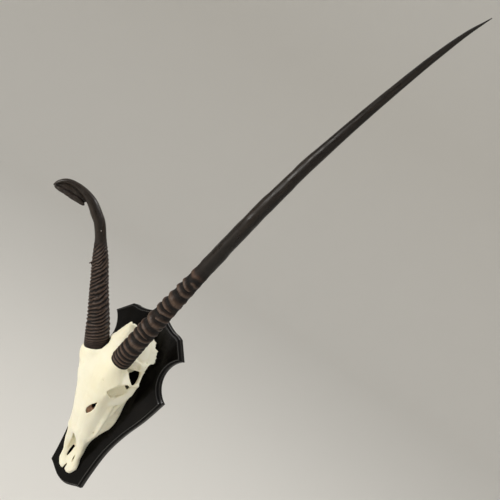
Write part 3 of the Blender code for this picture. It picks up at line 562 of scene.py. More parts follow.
        # slot at the front of the socket
        cut(bar(at([(40.0, 96.5, 38.0), (43.5, 92.5, 34.5), (46, 88.5, 32)]), (1.5, 1.9, 1.4)), 1.5)
        # torn edges at the back of the head
        cut(prism(at([(26.7, 50, 186.1), (42.1, 50, 185.4), (49.3, 50, 183.2), (54.7, 50, 179.9), (54.1, 50, 174.2), (56.6, 50, 172.2), (56.7, 50, 168.1), (62.8, 50, 166.9), (68.7, 50, 167.3), (67.9, 50, 161.8), (70.6, 50, 158.6), (70.0, 50, 154.3), (74.4, 50, 152.2), (73.5, 50, 146.6), (76.6, 50, 143.2), (75.4, 50, 137.1), (68.0, 50, 132.2), (65.6, 50, 125.3), (64.5, 50, 109.3), (120.5, 50, 147.1), (102.2, 50, 206.1), (36.9, 50, 216.4)]), (s * -0.499, -0.832, -0.243), 30, 60), 0.9)
        # gap in the bone in front of the eye
        gap = [(33.2, 100, 10.4), (31.0, 100, 2.6), (32.6, 100, -1.6), (32.6, 100, -8.2), (28.1, 100, -19.0), (22.1, 100, -26.4), (16.2, 100, -23.2), (14.6, 100, -17.8), (18.2, 100, -9.6), (21.8, 100, -3.0), (26.6, 100, 1.4)]
        deep = [gap[0], gap[1], gap[2], (31.5, 100, -6.5), (25.5, 100, -8.0), gap[9], gap[10]]
        if s < 0:
            gap, deep = ([(33 + 0.38 * (x - 24), h, -9 + 0.42 * (z + 9)) for x, h, z in outline] for outline in (gap, deep))

        def shallow(x, h, z, s=s):
            return ((100 + 0.42 * (z + 12) - 0.75 * (s * x - 24) - h) * 0.76 - 4.4).astype(np.float32)

        towards = (s * -0.493, -0.791, -0.362)
        cut(both(prism(at(gap), towards, 22, 34), ((-80, 12, -210), (80, 150, 200), shallow)), 0.6)
        cut(prism(at(deep), towards, 22, 34), 0.6)
    # slots in the palate: a wide one on the left, a thin one on the right
        if s < 0:
            slit = [(-4.2, 26, -129.4), (-9.6, 26, -135.4), (-12.0, 26, -143.7), (-13.3, 26, -153.2), (-13.5, 26, -161.9), (-12.3, 26, -169.6), (-10.2, 26, -169.6), (-8.2, 26, -161.6), (-6.6, 26, -153.1), (-6.0, 26, -144.5), (-4.6, 26, -136.6)]
        else:
            slit = [(8.9, 26, -147.6), (7.8, 26, -153.4), (7.3, 26, -157.7), (6.8, 26, -162.3), (7.8, 26, -167.5), (9.4, 26, -172.4), (10.5, 26, -171.4), (9.6, 26, -167.0), (8.9, 26, -161.7), (9.0, 26, -156.4), (9.5, 26, -151.5)]
        cut(prism(slit, (-0.472, -0.774, -0.423), 9, 18), 0.7)
        # blood-vessel holes: over the eyes, below the eyes, at the side of the muzzle and the temple
        cut(bar(at([(33.5, 138, 66.9), (33.8, 128, 67), (34.5, 119, 66)]), (1.3, 1.15, 1.1) if s > 0 else (0.9, 0.7, 0.7)), 1.3)
        cut(bar(at([(33, 137, 73.6), (33.2, 131, 70)]), (1.1, 1.0)), 1.5)
        cut(bar(at([(39, 58, -72), (34, 56, -64), (30, 56, -56)]), (0.8, 1.1, 1.1)), 1.8)
        for x, h, z in ((57, 49, 156), (58.6, 50, 128.8), (60.3, 50, 119.7)):
            cut(bar(at([(x + 6, h + 9, z + 3), (x - 5, h - 8, z - 3)]), (1.05, 0.95)), 0.8)
        # the shallow trough above the tooth row and under the rim of the eye
        cut(ball((s * 57, 42, -42), (8, 14, 30), (0, s * 4, 0)), 8)
        cut(ball((s * 56, 86, -4), (9, 9, 18), (-14, 0, 0)), 8)
        # the cheek falls away to the tooth row
        cut(prism(at([(53.0, 25, 33.9), (49.7, 25, 22.9), (50.5, 25, 18.3), (51.6, 25, 2.9), (54.2, 25, -12.6), (54.6, 25, -30.2), (52.6, 25, -43.3), (49.2, 25, -54.8), (43.3, 25, -64.0), (32.7, 25, -83.5), (23.4, 25, -98.3), (16.8, 25, -123.4), (21.8, 25, -139.8), (61.3, 25, -156.0), (120.0, 25, -30.9), (100.2, 25, 61.3)]), (s * -0.461, -0.803, -0.377), 110, 30), 3)
        # step where the muzzle meets the cheek
        cut(ball((s * 36, 22, -104), (9, 16, 16)), 5)
    # torn peak of the crest, and the side of the head falling away below it
    peak = [(-42.7, 98, 129.2), (-29.8, 98, 142.2), (-25.9, 98, 151.6), (-19.6, 98, 158.6), (-20.9, 98, 162.6), (-16.0, 98, 169.5), (-15.2, 98, 173.0), (-10.6, 98, 178.2), (-9.8, 98, 182.8), (-5.4, 98, 187.6), (-1.9, 98, 195.4), (1.6, 98, 197.2), (3.2, 98, 193.6), (7.0, 98, 195.6), (9.7, 98, 199.2), (18.7, 98, 197.7), (28.0, 98, 200.5), (35.6, 98, 218.1), (-11.2, 98, 245.6), (-80.1, 98, 177.0)]
    cut(prism(peak, (-0.541, -0.793, -0.279), 34, 30), 0.9)
    cut(prism(peak, (-0.541, -0.793, -0.279), -24, 84), 8)
    # nose: open trough in front, then a passage under the nasal bones
    cut(nose_passage(), 1.2)
    # cleft between the tips, and the faint groove that runs into it
    cut(prism([(-1.0, 24, -183.3), (-2.9, 24, -188.3), (-4.1, 24, -192.0), (-5.6, 24, -197.1), (-6.5, 24, -203), (1.5, 24, -203), (0.2, 24, -196.7), (-0.7, 24, -194.6), (-0.3, 24, -190.7), (-0.2, 24, -186.7)], (-0.466, -0.765, -0.444), 16, 16), 1.0)
    cut(bar([(0.1, 28.2, -169.5), (0.8, 27.8, -174.0), (1.5, 27.6, -178.6)], (0.8, 1.0, 0.8)), 0.8)
    # spine and brain: the hole at the back of the head
    cut(ball((0, 47, 180), (11, 11.5, 14)), 2.5)
    cut(ball((0, 70, 198), (15, 16, 7), (18, 0, 0)), 6)
    # underside: palate between the tooth rows, and the room below the braincase
    cut(ball((0, 12, -18), (25, 22, 60)), 3)
    cut(ball((0, 10, 76), (46, 40, 34)), 4)
    # the bony plate that parts the nose
    add(bar([(0, 33, -104), (0, 36, -92), (0, 40, -75), (0, 42, -55)], (1.2, 2.2, 2.6, 2.6)), 2)
    return clay, whole


# z, height of the middle, half width and half height of the nose passage, half width of its mouth
NOSE = (
    (-184, 30.5, 3, 2, 3), (-178, 30, 8.5, 4, 8), (-172, 30, 12.4, 4.4, 12), (-160, 34, 14.0, 7.2, 13.6), (-145, 37.5, 13.6, 9.5, 13.2), (-131, 39, 12.2, 10, 11.4),
    (-122, 40, 11.4, 10.4, 9.2), (-114, 41, 10.8, 10.8, 7.0), (-105, 44.5, 10.3, 13, 4.4), (-99, 46.4, 10.4, 14.0, 2.0), (-95.8, 47.5, 10.6, 14.4, 0.2), (-88, 50, 11.5, 15, -3),
    (-70, 56, 14, 15.5, -3), (-40, 64, 15, 14, -3), (-10, 72, 15, 13, -3), (20, 80, 11, 10, -3),
)


def nose_passage():
    def distance(x, h, z):
        zz = z.ravel()
        v = smooth_rows(NOSE, zz)
        lean = smooth_rows(LEAN_OF_MUZZLE, zz)[:, 0]
        hc, a, b, mouth = (c[None, None, :].astype(np.float32) for c in v.T)
        away = np.abs(x - lean[None, None, :])
        k = np.sqrt((away / a) ** 2 + ((h - hc) / b) ** 2)
        d = (k - 1) * np.minimum(a, b)
        d = np.minimum(d, np.maximum(away - mouth, hc - h))
        ends = np.maximum(zz[None, None, :] - 20.0, -(zz[None, None, :] + 184.0))
        return np.maximum(d, ends).astype(np.float32)

    return np.array([-18, 20, -186.0]), np.array([18, 92, 22.0]), distance


SEAMS = (
    # between the nasal bones, and between the frontal bones up to the horns
    (((0, 69, -95), (0, 79, -75), (0, 91, -48), (0, 103, -15), (0, 113, 14)), 0.9),
    (((0, 113, 14), (0, 121, 40), (0, 128, 62), (0, 131, 82), (0, 132.6, 102), (0, 130, 120)), 0.7),
    # nasal to frontal, a long tongue
    (((0, 113.8, 15), (6, 114.4, 15), (10, 112, 7), (13, 108, -5), (15.5, 104, -14), (18, 103, -20)), 0.8),
    # nasal to maxilla
    (((19.2, 100, -26), (17, 96, -38), (16.2, 91, -48), (16, 83, -66), (15.5, 77, -78), (14.5, 71.5, -92), (12, 67, -100)), 0.8),
    # premaxilla to maxilla
    (((14.4, 71.6, -90), (20, 67, -95), (25, 61, -104), (28, 53, -114), (28, 44, -126), (25, 35, -138), (23, 26, -150)), 0.8),
    # lacrimal, maxilla and cheek bone
    (((29, 96, -8), (33, 93, -16), (38, 86, -22), (43, 76, -20), (47, 66, -10), (50, 60, 2)), 0.7),
    (((31, 102, 5), (36, 106, 14), (41, 105, 24), (45, 100, 34)), 0.7),
    (((50, 60, 2), (53, 60, 14), (57, 58, 26)), 0.6),
)


def seam_marks(vertices):
    """How near each vertex lies to a seam: 1 on its line, 0 away from it, times the seam's depth."""
    marks = np.zeros(len(vertices))
    for seam, deep in SEAMS:
        p = np.array(seam, float)
        t = np.linspace(0, len(p) - 1, 14 * (len(p) - 1) + 1)
        line = smooth_rows([(i, *q) for i, q in enumerate(p)], t)
        wander = np.stack([noise(np.stack([t * 2.3 + 9 * k, t * 0 + 3.1, t * 0], 1), 40 + k) for k in range(3)], 1)
        for s in (1, -1):
            if s < 0 and np.abs(p[:, 0]).max() < 0.01:
                continue
            path = line * [s, 1, 1] + wander * [1.1, 0, 1.1]
            near = np.flatnonzero(((vertices > path.min(0) - [3, 14, 3]) & (vertices < path.max(0) + [3, 14, 3])).all(1))
            for first in range(0, len(near), 4000):
                some = near[first : first + 4000]
                flat = (vertices[some][:, None, ::2] - path[None, :, ::2]) ** 2
                drop = (vertices[some][:, None, 1] - path[None, :, 1]) ** 2
                d = np.sqrt((flat.sum(2) + 0.05 * drop).min(1))
                marks[some] = np.maximum(marks[some], deep * np.exp(-((d / 0.9) ** 2)))
    return marks


def skull_mesh():
    clay, whole = build_skull()
    x, h, z = (a.astype(np.float32) for a in clay.axes)
    clay.field = np.maximum(clay.field, (FACE - h)[None, :, None])
    vertices, quads = clay.skin()
    vertices, quads, _ = largest_piece(vertices, quads)
    vertices = relax(vertices, quads, 3)
    normal = clay.normals(vertices)
    # low swells of the bone, a little fine grain, none on the sawn face
    flat = step(FACE + 0.4, FACE + 3.0, vertices[:, 1])
    swell = 0.42 * fbm(vertices / 19.0, 3, 5) + 0.11 * fbm(vertices / [3.2, 3.2, 6.5], 2, 9)
    # the thin edge at the back of the head is torn and rough
    edge = step(150, 185, vertices[:, 2]) * step(4, 20, np.abs(vertices[:, 0]))
    swell = swell + 0.9 * edge * fbm(vertices / 5.2, 2, 15)
    seam = seam_marks(vertices)
    vertices = vertices + normal * ((swell - 0.14 * seam) * flat)[:, None]
    near_face = vertices[:, 1] < FACE + 0.75
    vertices[near_face, 1] = FACE
    # how far the surface lies in a hollow, at two scales, which the bone material uses for painted shade
    small = 1 - clay.sample(vertices + normal * 3.5) / 3.5
    # the walls of the nose that show through the gaps in front of the eyes: 1 where shallow, 2 where deep, where the
    # bone material paints them near-black as shade
    a, b = np.array([27.0, 98.0, -2.0]), np.array([10.0, 76.0, -20.0])
    beside = np.abs(vertices * [1, 0, 0]) + vertices * [0, 1, 1]
    t = np.clip((beside - a) @ (b - a) / ((b - a) @ (b - a)), 0, 1)
    off = np.linalg.norm(beside - a - t[:, None] * (b - a), axis=1)
    depth = -clay.sample(vertices, whole)
    inside = (step(1.0, 2.4, depth) + step(7.2, 9.6, depth)) * (1 - step(21, 28, off))
    wide = 1 - clay.sample(vertices + normal * 13) / 13
    return vertices, quads, {"hollow": np.clip(small, -1, 2), "deep": np.clip(wide, -1, 2), "seam": seam, "inside": inside}

# ---- the long horn ----------------------------------------------------------------------
# height, distance from the wall and radius of the long horn, in millimetres
LONG_STATIONS = (
    (123.2, 117.0, 23.0), (182, 133.0, 22.1), (241, 147.0, 20.8), (298, 159.0, 18.8), (353, 170.0, 17.0),
    (406, 181.0, 15.7), (482, 196.5, 15.0), (555, 209.0, 14.5), (624, 217.5, 13.1), (690, 221.0, 11.6),
    (776, 220.5, 9.7), (860, 216.0, 8.0), (942, 207.0, 6.2), (1005, 192.5, 3.6), (1048, 174.5, 0.7),
)
LONG_LEAN = 0.355
# crests of the growth rings, in millimetres along the horn, and how far each stands out
LONG_CRESTS = (
    (-7, 1.5), (2.2, 1.6), (10.5, 1.7), (19.8, 1.8), (30.7, 1.9), (43.3, 2.1), (57, 2.4), (75, 2.9), (92.5, 3.2), (107, 3.3),
    (124, 3.5), (140, 3.5), (156, 3.5), (174.5, 3.7), (194.5, 3.6), (213.5, 3.4), (236, 3.0), (256, 2.3), (281, 1.1), (308, 0.35), (352, 0.2), (398, 0.12),
)
LONG_RIGHT = np.array([0.859, -0.481, -0.175])  # across the horn, to the right in the picture
LONG_FRONT = np.array([0.396, 0.841, -0.368])
# where a ring forks: place along the horn, angle from the front to the right and to the back, sense
LONG_FORKS = ((63, 48, 170, 1), (98, 30, 150, -1), (131, 52, 190, 1), (150, -20, 160, 1), (181, 24, 170, -1), (205, 58, 200, 1), (244, 30, 175, -1), (262, -8, 150, 1))


def rings(s, crests, forks, angle, width, gully=0.62, crest_power=1.2):
    """Ring relief at distances s and angles (radians) round the horn: hill from 0 to 1 (steep towards the
    base, long towards the tip), furrow from 0 to 1, and the height of the rings there."""
    c = np.array(crests, float)
    first, last = c[1, 0] - c[0, 0], c[-1, 0] - c[-2, 0]
    phase = np.interp(s, c[:, 0], np.arange(len(c)))
    phase = phase + np.minimum(s - c[0, 0], 0) / first + np.maximum(s - c[-1, 0], 0) / last
    for at, one, two, sense in forks:
        b = np.clip((s - at) / (2 * width), -12, 12)
        turn = 0
        for way, deg in ((1, one), (-1, two)):
            a = (angle - math.radians(deg)) / 2
            turn = turn + way * np.arctan2(np.cos(a) * np.sinh(b), np.sin(a) * np.cosh(b))
        far = math.radians(two - one) / 2
        phase = phase + sense * (turn - far * np.tanh(b)) / (2 * np.pi)
    v = phase - np.floor(phase)
    w = np.where(v < gully, v / gully * 0.5, 0.5 + (v - gully) / (1 - gully) * 0.5)
    hill = (0.5 + 0.5 * np.cos(2 * np.pi * w)) ** crest_power
    furrow = np.exp(-(((w - 0.5) / 0.13) ** 2))
    return hill, furrow, np.interp(s, c[:, 0], c[:, 1])


def frames_along(points, lead):
    """Unit tangents and two cross directions along a polyline, the first as near to lead as it can be."""
    tangent = np.gradient(points, axis=0)
    tangent /= np.linalg.norm(tangent, axis=1)[:, None]
    wide = lead - tangent * (tangent @ lead)[:, None]
    wide /= np.linalg.norm(wide, axis=1)[:, None]
    return tangent, wide, np.cross(tangent, wide)


def long_horn():
    z = np.linspace(LONG_STATIONS[0][0], LONG_STATIONS[-1][0], 4000)
    hr = smooth_rows(LONG_STATIONS, z)
    line = np.stack([LONG_BASE[0] + LONG_LEAN * (z - LONG_BASE[2]), hr[:, 0], z], 1)
    length = np.concatenate([[0], np.cumsum(np.linalg.norm(np.diff(line, axis=0), axis=1))])
    total = length[-1]
    places = [-5.0, -4.2, -3.0, -1.8, -0.8]
    s = 0.0
    while s < total - 0.4:
        places.append(s)
        s += 0.85 if s < 330 else (1.6 if s < 420 else 2.9 if s < total - 60 else 1.5)
    places.append(total - 0.2)
    places = np.array(places)
    inside = np.maximum(places, 0)
    centre = np.stack([np.interp(inside, length, line[:, k]) for k in range(3)], 1)
    radius = np.interp(inside, length, hr[:, 1])
    tangent, wide, deep = frames_along(centre[5:], np.array([1.0, 0, 0]))
    tangent, wide, deep = (np.concatenate([np.repeat(v[:1], 5, 0), v]) for v in (tangent, wide, deep))
    centre = centre + tangent * np.minimum(places, 0)[:, None]
    count = 128
    angle = np.linspace(0, 2 * np.pi, count, endpoint=False)
    # unit directions round the horn in space, to know what faces the front and what the wall
    out = wide[:, None, :] * np.cos(angle)[None, :, None] + deep[:, None, :] * np.sin(angle)[None, :, None]
    s = np.repeat(places[:, None], count, 1).ravel()
    n = out.reshape(-1, 3)
    right_side = n @ LONG_RIGHT
    front_side = n @ LONG_FRONT
    turned = np.arctan2(right_side, front_side)
    r = np.repeat(radius[:, None], count, 1).ravel()
    around = n * 1.25
    shift = (0.9 + 1.0 * step(50, 110, s)) * fbm(np.stack([around[:, 0], around[:, 1], around[:, 2] + s / 55.0], 1), 2, 21)
    shift = shift + step(40, 100, s) * 1.5 * noise(np.stack([around[:, 0] * 1.5, around[:, 1] * 1.5, s / 24.0], 1), 27)
    # rings dip towards the base in front and rise behind
    shift = shift + (0.6 + 1.6 * step(60, 150, s)) * (n @ np.array([-0.2, 0.95, 0.2])) + 1.6 * step(80, 160, s) * right_side
    hill, crease, tall = rings(s + shift, LONG_CRESTS, LONG_FORKS, turned, 11.0, crest_power=np.interp(s, [0, 60, 110, 260], [1.7, 2.2, 2.5, 2.0]))
    tall = 0.9 * tall * (1 + 0.22 * noise(np.stack([around[:, 0] * 1.3, around[:, 1] * 1.3, s / 17.0], 1), 33))
    # they stand out most towards the upper left, and least on the right and the wall side
    side = 0.36 + 0.64 * step(-0.85, 0.35, -right_side + 0.25 * front_side)
    fade = np.clip(r / 12.0, 0, 1)
    grow = tall * side * (hill - 0.36) - 0.25 * crease * side * np.clip(tall, 0, 1)
    # a finer line or two on the flanks of the larger rings
    fine = np.cos((s + shift) * 2 * np.pi / 5.3 + 3.0 * fbm(np.stack([around[:, 0], around[:, 1], s / 30.0], 1), 2, 39))
    grow = grow + 0.22 * fine * step(50, 90, s) * (1 - step(250, 300, s)) * (1 - hill)
    # lumps along the crests
    grow = grow + 0.36 * tall / 3.0 * hill * noise(np.stack([around[:, 0] * 3.4, around[:, 1] * 3.4, s / 9.0], 1), 41)
    # fine lengthwise fibres, and low swells on the smooth part
    fibre = fbm(np.stack([around[:, 0] * 9, around[:, 1] * 9, around[:, 2] * 9 + s / 60.0], 1), 2, 51)
    pit = fbm(np.stack([around[:, 0] * 5, around[:, 1] * 5, s / 4.6], 1), 2, 57)
    swell = fbm(np.stack([around[:, 0] * 0.7, around[:, 1] * 0.7, s / 70.0], 1), 2, 61)
    ringed = 1 - step(262, 345, s)
    grow = grow + fade * ((0.08 + 0.10 * ringed) * fibre + 0.20 * ringed * pit + 0.28 * swell)
    # worn-down rings carry on up the horn as low waves
    wave = noise(np.stack([around[:, 0] * 0.55, around[:, 1] * 0.55, (s + shift) / 24.0], 1), 63)
    grow = grow + fade * 1.25 * step(276, 318, s) * (1 - step(585, 660, s)) * wave
    # the lip of the sheath at the base, drawn in and a little ragged
    lip = step(-5.2, -2.2, s - 0.7 * noise(around * 2.4, 71))
    grow = grow * (0.3 + 0.7 * lip) - 0.45 * (1 - lip)
    # a shallow flat runs up the wall side, as gemsbok horns are a little oval
    oval = 1 + 0.012 * np.cos(2 * np.arctan2(n[:, 1], n[:, 0]))
    rr = np.maximum(r * oval + grow, 0.25)
    points = np.repeat(centre[:, None, :], count, 1).reshape(-1, 3) + n * rr[:, None]
    rows = len(places)
    i, j = np.meshgrid(np.arange(rows - 1), np.arange(count), indexing="ij")
    a = i * count + j
    b = i * count + (j + 1) % count
    quads = np.stack([a, b, b + count, a + count], -1).reshape(-1, 4)
    attributes = {
        "ridge": hill * np.clip(side * tall / 1.2, 0, 1) * (1 - step(258, 322, s)) * (0.55 + 0.45 * side),
        "crease": np.clip(crease * np.clip(tall, 0, 1) * (1 - step(280, 340, s)), 0, 1),
        "along": s * MM,
        "ringed": ringed,
        "round_x": n[:, 0] * 0.02,
        "round_y": n[:, 1] * 0.02,
        "round_z": n[:, 2] * 0.02,
    }
    return points, quads, attributes, rows, count


def capped(obj, rows, count):
    """Closes both ends of a loft."""
    bm = bmesh.new()
    bm.from_mesh(obj.data)
    bm.verts.ensure_lookup_table()
    for ring in ([bm.verts[i] for i in range(count)], [bm.verts[(rows - 1) * count + i] for i in range(count)][::-1]):
        bm.faces.new(ring)
    bmesh.ops.recalc_face_normals(bm, faces=bm.faces)
    bm.to_mesh(obj.data)
    bm.free()
    obj.data.shade_smooth()
    return obj


# ---- the deformed horn -------------------------------------------------------------------
# middle (x, distance from the wall, z) and radius
STEM = (
    ((-40.0, 117.5, 118.5), 27.2), ((-51.5, 127.2, 150.0), 25.4), ((-63.0, 136.0, 178.1), 23.2), ((-82.4, 152.0, 225.3), 20.0),
    ((-92.9, 160.0, 251.0), 18.7), ((-105.1, 169.5, 280.7), 17.4), ((-114.2, 177.4, 303.0), 14.7), ((-122.2, 184.6, 322.5), 12.4),
    ((-134.0, 197.5, 349.2), 12.4), ((-145.5, 206.0, 362.4), 12.5), ((-158.9, 214.5, 376.0), 11.6), ((-168.9, 220.6, 383.2), 10.6),
    ((-179.3, 227.0, 388.4), 9.5), ((-190.0, 233.5, 392.0), 8.4), ((-201.0, 240.3, 394.0), 7.2), ((-211.9, 246.9, 394.0), 6.3),
    ((-222.2, 253.2, 390.8), 5.6), ((-230.0, 258.0, 384.6), 4.6), ((-235.4, 261.3, 377.4), 3.6), ((-238.6, 263.2, 371.0), 1.7),
)
FLAP = (
    ((-233.6, 260.2, 369.4), 4.2), ((-223.6, 254.2, 369.2), 6.2), ((-213.6, 248.0, 369.4), 6.6), ((-201.4, 240.6, 368.8), 7.2),
    ((-190.0, 233.6, 368.4), 7.4), ((-180.6, 227.6, 367.2), 5.6), ((-175.4, 224.4, 366.4), 3.6),
)
DEFORMED_PITCH = 0.92
RINGS_END = 232.0
DEFORMED_RIGHT = np.array([0.657, -0.618, 0.432])  # across the stem, to the right in the picture
DEFORMED_FRONT = np.array([0.677, 0.735, 0.022])
DEFORMED_CRESTS = tuple(zip(
    (-8, -4.6, -1.2, 2.4, 6.4, 11.5, 18.5, 26, 34.5, 43, 52, 61, 70.5, 80, 89.5, 99, 108, 117, 126, 134.5, 143, 151.5, 160, 168.5, 177, 185.5, 194, 202.5, 211.5, 221, 231),
    (0.5, 0.5, 0.5, 0.6, 0.8, 1.1, 1.5, 1.8, 2.0, 2.1, 2.1, 2.2, 2.2, 2.3, 2.3, 2.2, 2.1, 2.1, 2.0, 1.9, 1.9, 1.8, 1.8, 1.7, 1.6, 1.5, 1.3, 1.1, 0.9, 0.6, 0.4),
))
DEFORMED_FORKS = ((32, 40, 160, -1), (50, -38, 150, 1), (72, 22, 170, -1), (93, 60, 200, 1), (108, -30, 150, -1), (126, 35, 165, 1), (143, 5, 170, -1), (160, 50, 200, 1), (178, 15, 160, -1))


def stem_line(per=12):
    p = np.array([[*c, r] for c, r in STEM])
    t = np.arange(len(p), dtype=float)
    dense = smooth_rows([(i, *q) for i, q in enumerate(p)], np.linspace(0, len(p) - 1, per * (len(p) - 1) + 1))
    length = np.concatenate([[0], np.cumsum(np.linalg.norm(np.diff(dense[:, :3], axis=0), axis=1))])
    return dense, length


def deformed_horn():
    clay = Clay((-252, 84, 96), (-4, 276, 408), DEFORMED_PITCH)
    dense, length = stem_line()
    start = dense[:1].copy()
    start[0, :3] -= DEFORMED_AXIS * 11.0
    run = np.concatenate([start, dense])
    # swept round body, laid down in short windows
    for k in range(len(run) - 1):
        a, b, ra, rb = run[k, :3], run[k + 1, :3], run[k, 3], run[k + 1, 3]
        d = b - a
        size = float(d @ d)
        if size < 1e-9:
            continue
        low = np.minimum(a, b) - max(ra, rb)
        high = np.maximum(a, b) + max(ra, rb)

        def distance(x, h, z, a=a, d=d, ra=ra, rb=rb, size=size):
            t = np.clip(((x - a[0]) * d[0] + (h - a[1]) * d[1] + (z - a[2]) * d[2]) / size, 0, 1)
            q = (x - a[0] - t * d[0]) ** 2 + (h - a[1] - t * d[1]) ** 2 + (z - a[2] - t * d[2]) ** 2
            return (np.sqrt(q) - (ra + (rb - ra) * t)).astype(np.float32)

        clay.add((low, high, distance), 0, 5)
    # the sawn-looking end inside the skull
    x, h, z = (v.astype(np.float32) for v in (clay.axes[0][:, None, None], clay.axes[1][None, :, None], clay.axes[2][None, None, :60]))
    b0 = DEFORMED_BASE - DEFORMED_AXIS * 10.4
    plane = -((x - b0[0]) * DEFORMED_AXIS[0] + (h - b0[1]) * DEFORMED_AXIS[1] + (z - b0[2]) * DEFORMED_AXIS[2])
    clay.field[:, :, :60] = np.maximum(clay.field[:, :, :60], plane)
    # the hook is cupped: a lower lobe hangs from its tip and ends free beside the stem
    away = np.array([-0.667, -0.735, -0.116])
    lobe = np.array([[*c, r] for c, r in FLAP])
    # the web behind, which joins the lobe to the upper ridge
    web = [(-234.5, 260.9, 376.0), (-226, 255.6, 380.2), (-214, 248.4, 381.8), (-202, 241.0, 381.6), (-191, 234.4, 380.2), (-183, 229.4, 377.4), (-177.5, 226.0, 373.8)]
    web = np.array(web) + np.array([1.2, 2.8, 4.4, 5.4, 5.4, 4.6, 3.2])[:, None] * away
    clay.add(bar(web, (3.0, 7.2, 9.6, 10.4, 9.8, 7.6, 4.6), 0.36, away), 2.5)
    clay.add(bar(lobe[:, :3] - away * 0.6, lobe[:, 3] * 0.86, 0.84, (-0.6, -0.75, 0.1)), 3.0)
    # the gap between the lobe's free end and the stem
    clay.cut(bar([(-176.6, 227.0, 374.4), (-172.8, 224.4, 370.4), (-169.0, 221.6, 366.0), (-165.6, 219.0, 360.6)], (0.5, 1.1, 1.8, 2.8), 5.0, away), 0.8)
    # a small spur on the left of the stem
    clay.add(bar([(-106.5, 171.0, 268.5), (-111.5, 176.5, 266.0), (-115.8, 181.0, 263.6)], (5.5, 3.2, 1.3)), 3.0)

    vertices, quads = clay.skin()
    vertices, quads, _ = largest_piece(vertices, quads)
    vertices = relax(vertices, quads, 2)
    normal = clay.normals(vertices)
    # place along the stem and round it
    place = np.empty(len(vertices))
    centre = np.empty((len(vertices), 3))
    tangent = np.gradient(dense[:, :3], axis=0)
    tangent /= np.linalg.norm(tangent, axis=1)[:, None]
    for first in range(0, len(vertices), 4000):
        v = vertices[first : first + 4000]
        d = ((v[:, None, :] - dense[None, :, :3]) ** 2).sum(2)
        k = d.argmin(1)
        ahead = ((v - dense[k, :3]) * tangent[k]).sum(1)
        place[first : first + 4000] = length[k] + np.clip(ahead, -12, 6)
        centre[first : first + 4000] = dense[k, :3] + tangent[k] * ahead[:, None]
    out = vertices - centre
    radius = np.linalg.norm(out, axis=1)
    n = out / np.maximum(radius, 1e-6)[:, None]
    s = place
    right_side = n @ DEFORMED_RIGHT
    front_side = n @ DEFORMED_FRONT
    turned = np.arctan2(right_side, front_side)
    slant = np.interp(s, [0, 25, 60, 110, 160, 200, 240], [0.04, 0.16, 0.32, 0.46, 0.62, 0.86, 1.0])
    hook = step(RINGS_END - 26, RINGS_END + 10, s + 6 * right_side)
    around = n * 1.3
    s1 = s - slant * radius * (right_side + 0.55 * np.maximum(right_side, 0) ** 2)
    warp = 3.0 * step(12, 50, s) * fbm(np.stack([around[:, 0] * 1.1, around[:, 1] * 1.1, s1 / 30.0], 1), 2, 81)
    warp = warp + 1.7 * step(40, 90, s) * noise(np.stack([around[:, 0] * 3.1, around[:, 1] * 3.1, s1 / 15.0], 1), 83)
    hill, crease, high = rings(s1 + warp, DEFORMED_CRESTS, DEFORMED_FORKS, turned, 10.0, 0.58, 1.35)
    jag = 1 + 0.42 * noise(np.stack([around[:, 0] * 1.7, around[:, 1] * 1.7, s1 / 8.0], 1), 87)
    calm = 0.55 + 0.45 * step(-0.8, 0.3, front_side - 0.25 * right_side)
    grow = (high * jag * (hill - 0.45) - 0.3 * crease * np.clip(high, 0, 1)) * (1 - hook) * calm
    # finer ridges run with the large ones
    fine = np.cos((s1 + warp) * 2 * np.pi / 3.9 + 2.6 * noise(np.stack([around[:, 0] * 1.2, around[:, 1] * 1.2, s1 / 12.0], 1), 89))
    grow = grow + 0.24 * fine * (1 - hook) * step(8, 40, s) * calm
    fibre = fbm(np.stack([around[:, 0] * 7, around[:, 1] * 7, around[:, 2] * 7 + s / 50.0], 1), 2, 91)
    grow = grow + 0.12 * fibre + 0.22 * (1 - hook) * fbm(vertices / [2.6, 2.6, 2.6], 2, 93)
    # ragged layers on the lobe
    lobe_at = np.sqrt(((vertices[:, None, :] - lobe[None, :, :3]) ** 2).sum(2)).min(1)
    ragged = (1 - step(9.0, 13.5, lobe_at)) * step(235, 262, s)
    grow = grow + ragged * (0.50 * fbm(vertices / [4.4, 4.4, 2.6], 2, 95) - 0.1)
    lip = step(-11.0, -8.0, s - 0.7 * noise(around * 2.2, 97))
    end = s < -10.2
    grow = np.where(end, 0, grow * (0.3 + 0.7 * lip) - 0.4 * (1 - lip))
    vertices = vertices + normal * grow[:, None]
    # how hollow the surface is, used for painted shade inside the hook's cup
    hollow = np.clip(1 - clay.sample(vertices + normal * 3.0) / 3.0, -1, 2)
    attributes = {
        "ridge": np.clip(hill + 0.12 * fine, 0, 1) * (1 - hook) * np.clip(high, 0, 1),
        "crease": crease * (1 - hook) * np.clip(high, 0, 1),
        "along": s * MM,
        "ringed": 1 - hook,
        "ragged": ragged,
        "hollow": hollow * step(255, 285, s),
        "round_x": n[:, 0] * 0.02,
        "round_y": n[:, 1] * 0.02,
        "round_z": n[:, 2] * 0.02,
    }
    return vertices, quads, attributes

# ---- the plaque --------------------------------------------------------------------------
SHOULDER, EAR, WAIST, FOOT = (79.5, 208.0), (113.3, 170.3), (126.0, 67.0), (54.8, -213.0)
SCALLOP_RADIUS = 59.0
